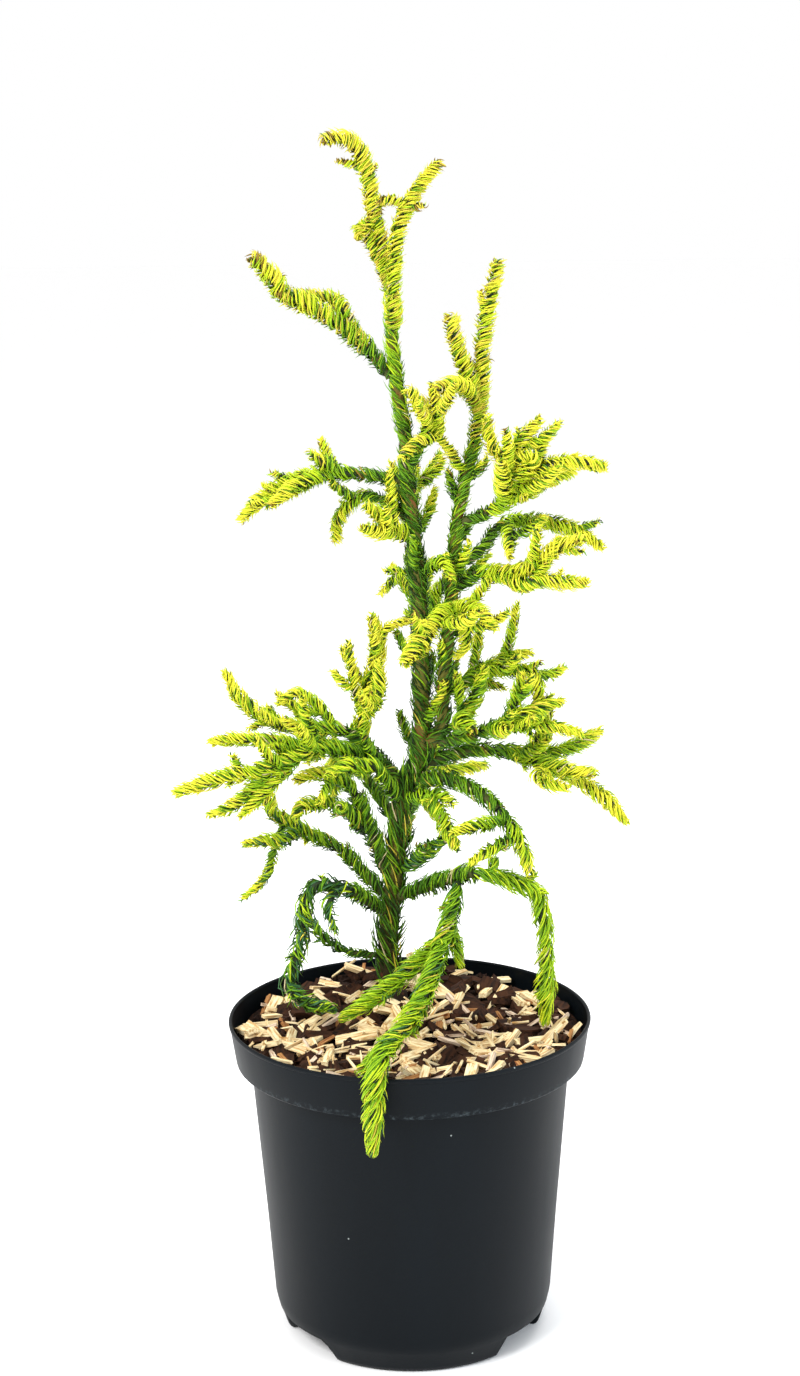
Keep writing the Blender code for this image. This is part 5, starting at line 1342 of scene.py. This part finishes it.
def dress(limb, look, number, density=1.0, bronze=0.05, gold=0.02, blue=0.0,
          layers=LAYERS, span=(0.0, 1.0), rise=0.65, painted_shade=LAYER_PAINTED_SHADE):
    """Deal a rope its needles, in strands over a golden-angle underlayer, their tones by share,
    darker in the inner layers as painted shade.
    """
    foot, tip, loose, pitch = look
    twist_spread, pitch_spread, tone_spread = (
        tight + gain * loose for tight, gain in (TWIST_SPREAD, PITCH_SPREAD, TONE_SPREAD))
    chance = np.random.default_rng(number)
    knob = float(np.interp(pitch, (46, 58), (0, 1)))
    track = rope_track(limb, BLUNT_SHARES[0] + (BLUNT_SHARES[1] - BLUNT_SHARES[0]) * knob)
    length = len(track) * FINE_STEP
    swell = chance.uniform(0, math.tau, 2)
    steps = np.arange(len(track))
    waves = [np.sin(steps / run + start) for run, start in zip(SWELL_RUNS, swell)]
    track[:, 9] *= 1 + SWELLS * (waves[0] + waves[1])
    girth = 2 * float(np.median(track[:, 9]))
    reach = NEEDLE_REACH + girth * (0.6 + 0.7 * loose)
    reach *= float(np.interp(pitch, (26, 42), (1.4, 1.0)))
    per_mm = density * COVER * math.pi * girth / (0.8 * reach * NEEDLE_WIDTH)
    first, last = length * span[0], length * span[1]
    count = max(6, int((last - first) * per_mm))
    order = np.arange(count)
    hand = 1 if number % 4 else -1
    starts = first + (order + chance.uniform(0, 1, count)) / per_mm - 1.0
    layer = chance.choice(layers, count, p=LAYER_SHARES)
    strands = max(3, round(math.pi * girth * math.cos(math.radians(pitch)) / STRAND_GAP))
    gain = math.tan(math.radians(pitch)) * FINE_STEP
    winding = np.cumsum(gain / np.maximum(track[:, 9], THIN_RADIUS))
    twisted = math.tau * (order % strands) / strands + hand * np.interp(starts, steps, winding)
    twisted += chance.normal(0, twist_spread, count)
    spins = np.where(layer > layers[1], twisted, np.radians(GOLDEN_ANGLE) * order)
    lengths = reach * chance.uniform(*LENGTH_SPREAD, count)
    to_tip = length - starts
    lengths *= np.clip(to_tip / 10.0, 0.5, 1.0)
    pitches = np.radians(chance.normal(pitch, pitch_spread, count))
    lengths = np.minimum(lengths, (to_tip + TIP_BRUSH * (1.15 - 0.6 * knob)) / np.cos(pitches))
    lift = (layer + 0.08 * knob) + loose * np.abs(chance.normal(0, LOOSE_LIFT, count))
    flares = chance.uniform(0.0, TIP_FLARE, count)
    flares += loose * np.abs(chance.normal(0, LOOSE_FLARE, count))
    corners = wrap_needles(track, starts, spins, lengths, pitches, hand, lift, flares,
                           NEEDLE_WIDTH * (1 + LOOSE_WIDTH * loose))
    along = np.clip(starts / length, 0, 1)
    tone = foot + (tip - foot) * along ** rise
    # Painted shade: needles in the inner layers are dealt darker tones, those in the outermost
    # layer slightly lighter ones.
    tone += (layer - layers[2]) * painted_shade * (0.6 + tone)
    tone += chance.normal(0, tone_spread, count)
    kinds = np.clip((tone * len(NEEDLE_TONES)).astype(int), 0, len(NEEDLE_TONES) - 1)
    names = np.array(NEEDLE_TONES, dtype=object)[kinds]
    near_tip = to_tip < chance.normal(BRONZE_REACH, 2.5, count)
    names[near_tip & (chance.uniform(0, 1, count) < bronze)] = "bronze"
    names[chance.uniform(0, 1, count) < gold] = "gold"
    # Painted shade: a share of the needles in low, inner masses take the darker blue-green.
    names[chance.uniform(0, 1, count) < blue] = "blue"
    names[chance.uniform(0, 1, count) < STRAW_SHARE] = "straw"
    for name in set(names):
        dealt[name].append(corners[names == name])


# The stems and boughs carry their own needles, and every third sprig on a stem is a fresh one.
STEM_LAYERS = (0.7, 0.78, 0.86, 0.94)
BOUGH_LAYERS = (0.84, 0.9, 0.98, 1.06)
SPRIG_TIP = 0.55
FRESH_GAIN = 0.4
TRUNK_FOOT_SPAN = (0.02, 0.36)
TRUNK_TOP_SPAN = (0.3, 1.0)
STEM_LOOKS = {
    "trunk_foot": (0.2, 0.38, 0.6, 26), "trunk_top": (0.18, 0.74, 0.5, 38),
    "second_stem": (0.16, 0.44, 0.5, 40), "bough": (0.24, 0.42, 0.4, 44),
}
number = 0
for name, grown in foliage.items():
    for limb in grown:
        number += 1
        dress(limb, SHOOT_LOOKS[name], number, density=SPARSE_SHOOTS.get(name, 1.0),
              bronze=BRONZE_TIPS.get(name, 0.05), gold=GOLD_SHARES.get(name, 0.02),
              blue=SHADE_BLUE_SHARES.get(name, 0.0), painted_shade=SOFT_SHADE_SHOOTS.get(name, LAYER_PAINTED_SHADE),
              layers=STEM_LAYERS if name in SPARSE_SHOOTS else LAYERS)
for limb in stem_sprigs:
    number += 1
    dress(limb, (0.22, SPRIG_TIP + FRESH_GAIN * (number % 3 == 0), 0.4, 46), number)
for name, limb in limbs.items():
    number += 1
    if name == "trunk":
        dress(limb, STEM_LOOKS["trunk_foot"], number, density=1.1, gold=0.06,
              layers=BOUGH_LAYERS, span=TRUNK_FOOT_SPAN)
        dress(limb, STEM_LOOKS["trunk_top"], number, layers=STEM_LAYERS, span=TRUNK_TOP_SPAN,
              rise=5.0)
    elif name == "second_stem":
        dress(limb, STEM_LOOKS["second_stem"], number, layers=STEM_LAYERS)
    else:
        dress(limb, STEM_LOOKS["bough"], number, layers=BOUGH_LAYERS)


def needle_finish(name, code):
    """Waxy living needle: one plain colour, a satin gloss and a faint ribbed skin."""
    material, tree, shader = blank_finish(name)
    shader.inputs["Base Color"].default_value = paint(code)
    shader.inputs["Roughness"].default_value = 0.4
    shader.inputs["Specular IOR Level"].default_value = 0.2
    place = add_node(tree, "ShaderNodeTexCoord").outputs["Object"]
    ribs = add_node(tree, "ShaderNodeTexNoise", {"Vector": place, "Scale": 900.0})
    skin = add_node(tree, "ShaderNodeBump", {
        "Height": ribs.outputs["Fac"], "Strength": 0.25, "Distance": 0.0003})
    tree.links.new(skin.outputs["Normal"], shader.inputs["Normal"])
    return material


PIECE_NEEDLES = 5500
for tone, groups in dealt.items():
    if not groups:
        continue
    code, slot = NEEDLE_COLOURS[tone]
    finish = needle_finish("waxy_needle_" + tone, code)
    sets = np.concatenate(groups)
    for part, first in enumerate(range(0, len(sets), PIECE_NEEDLES)):
        chosen = sets[first:first + PIECE_NEEDLES]
        offsets = np.arange(len(chosen))[:, None, None] * len(blade_corners)
        faces = (blade_faces[None] + offsets).reshape(-1, 3)
        piece = joined_mesh(f"needles_{tone}_{part}", chosen.reshape(-1, 3), faces, finish)
        piece.data.shade_smooth()
        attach(piece, "root")

# The studio: a white floor that runs out of sight, a broad soft key from the left, a cool fill
# from the right, a soft light behind and above, and the camera almost as high as the plant.
floor_shape = bmesh.new()
bmesh.ops.create_grid(floor_shape, x_segments=1, y_segments=1, size=40.0)
pale_floor, _, shader = blank_finish("pale_matt_floor")
shader.inputs["Base Color"].default_value = paint("#FFFFFF")
shader.inputs["Roughness"].default_value = 0.9
floor = moulded_piece("studio_floor", floor_shape, pale_floor)

world = bpy.data.worlds.new("pale_studio")
bpy.context.scene.world = world
bpy.context.scene.view_settings.view_transform = "Standard"
world.use_nodes = True
world.node_tree.nodes["Background"].inputs["Color"].default_value = (1.0, 1.0, 1.0, 1.0)
world.node_tree.nodes["Background"].inputs["Strength"].default_value = 1.0


def soft_light(name, place, aim, size, power, tint=(1.0, 1.0, 1.0)):
    """A square soft box at a place, turned to its aim."""
    light = bpy.data.lights.new(name, "AREA")
    light.size = size
    light.energy = power
    light.color = tint
    item = bpy.data.objects.new(name, light)
    item.location = place
    item.rotation_euler = (Vector(aim) - Vector(place)).to_track_quat("-Z", "Y").to_euler()
    bpy.context.scene.collection.objects.link(item)


soft_light("key_light", (-1.4, -1.5, 2.0), (0, 0, 0.4), 1.0, 62)
soft_light("fill_light", (1.9, -0.9, 1.0), (0, 0, 0.35), 1.2, 18, (0.72, 0.86, 1.0))
soft_light("top_light", (0.3, 0.5, 2.2), (0, 0, 0.4), 1.2, 25)

CAMERA_PLACE = (-3.1, -1320.0, 667.0)
CAMERA_DIP = 0.2007
CAMERA_ROLL = -0.0137
PICTURE_HEIGHT = 1376.0
FOCAL_PIXELS = 2275.0
camera = bpy.data.cameras.new("camera")
camera.sensor_fit = "VERTICAL"
camera.sensor_height = 36.0
camera.lens = FOCAL_PIXELS / PICTURE_HEIGHT * camera.sensor_height
camera.clip_start = 0.05
camera.clip_end = 50.0
camera_item = bpy.data.objects.new("camera", camera)
camera_item.location = Vector(CAMERA_PLACE) * MM
level = Matrix.Rotation(math.pi / 2 - CAMERA_DIP, 3, "X")
camera_item.rotation_euler = (level @ Matrix.Rotation(CAMERA_ROLL, 3, "Z")).to_euler()
bpy.context.scene.collection.objects.link(camera_item)
bpy.context.scene.camera = camera_item
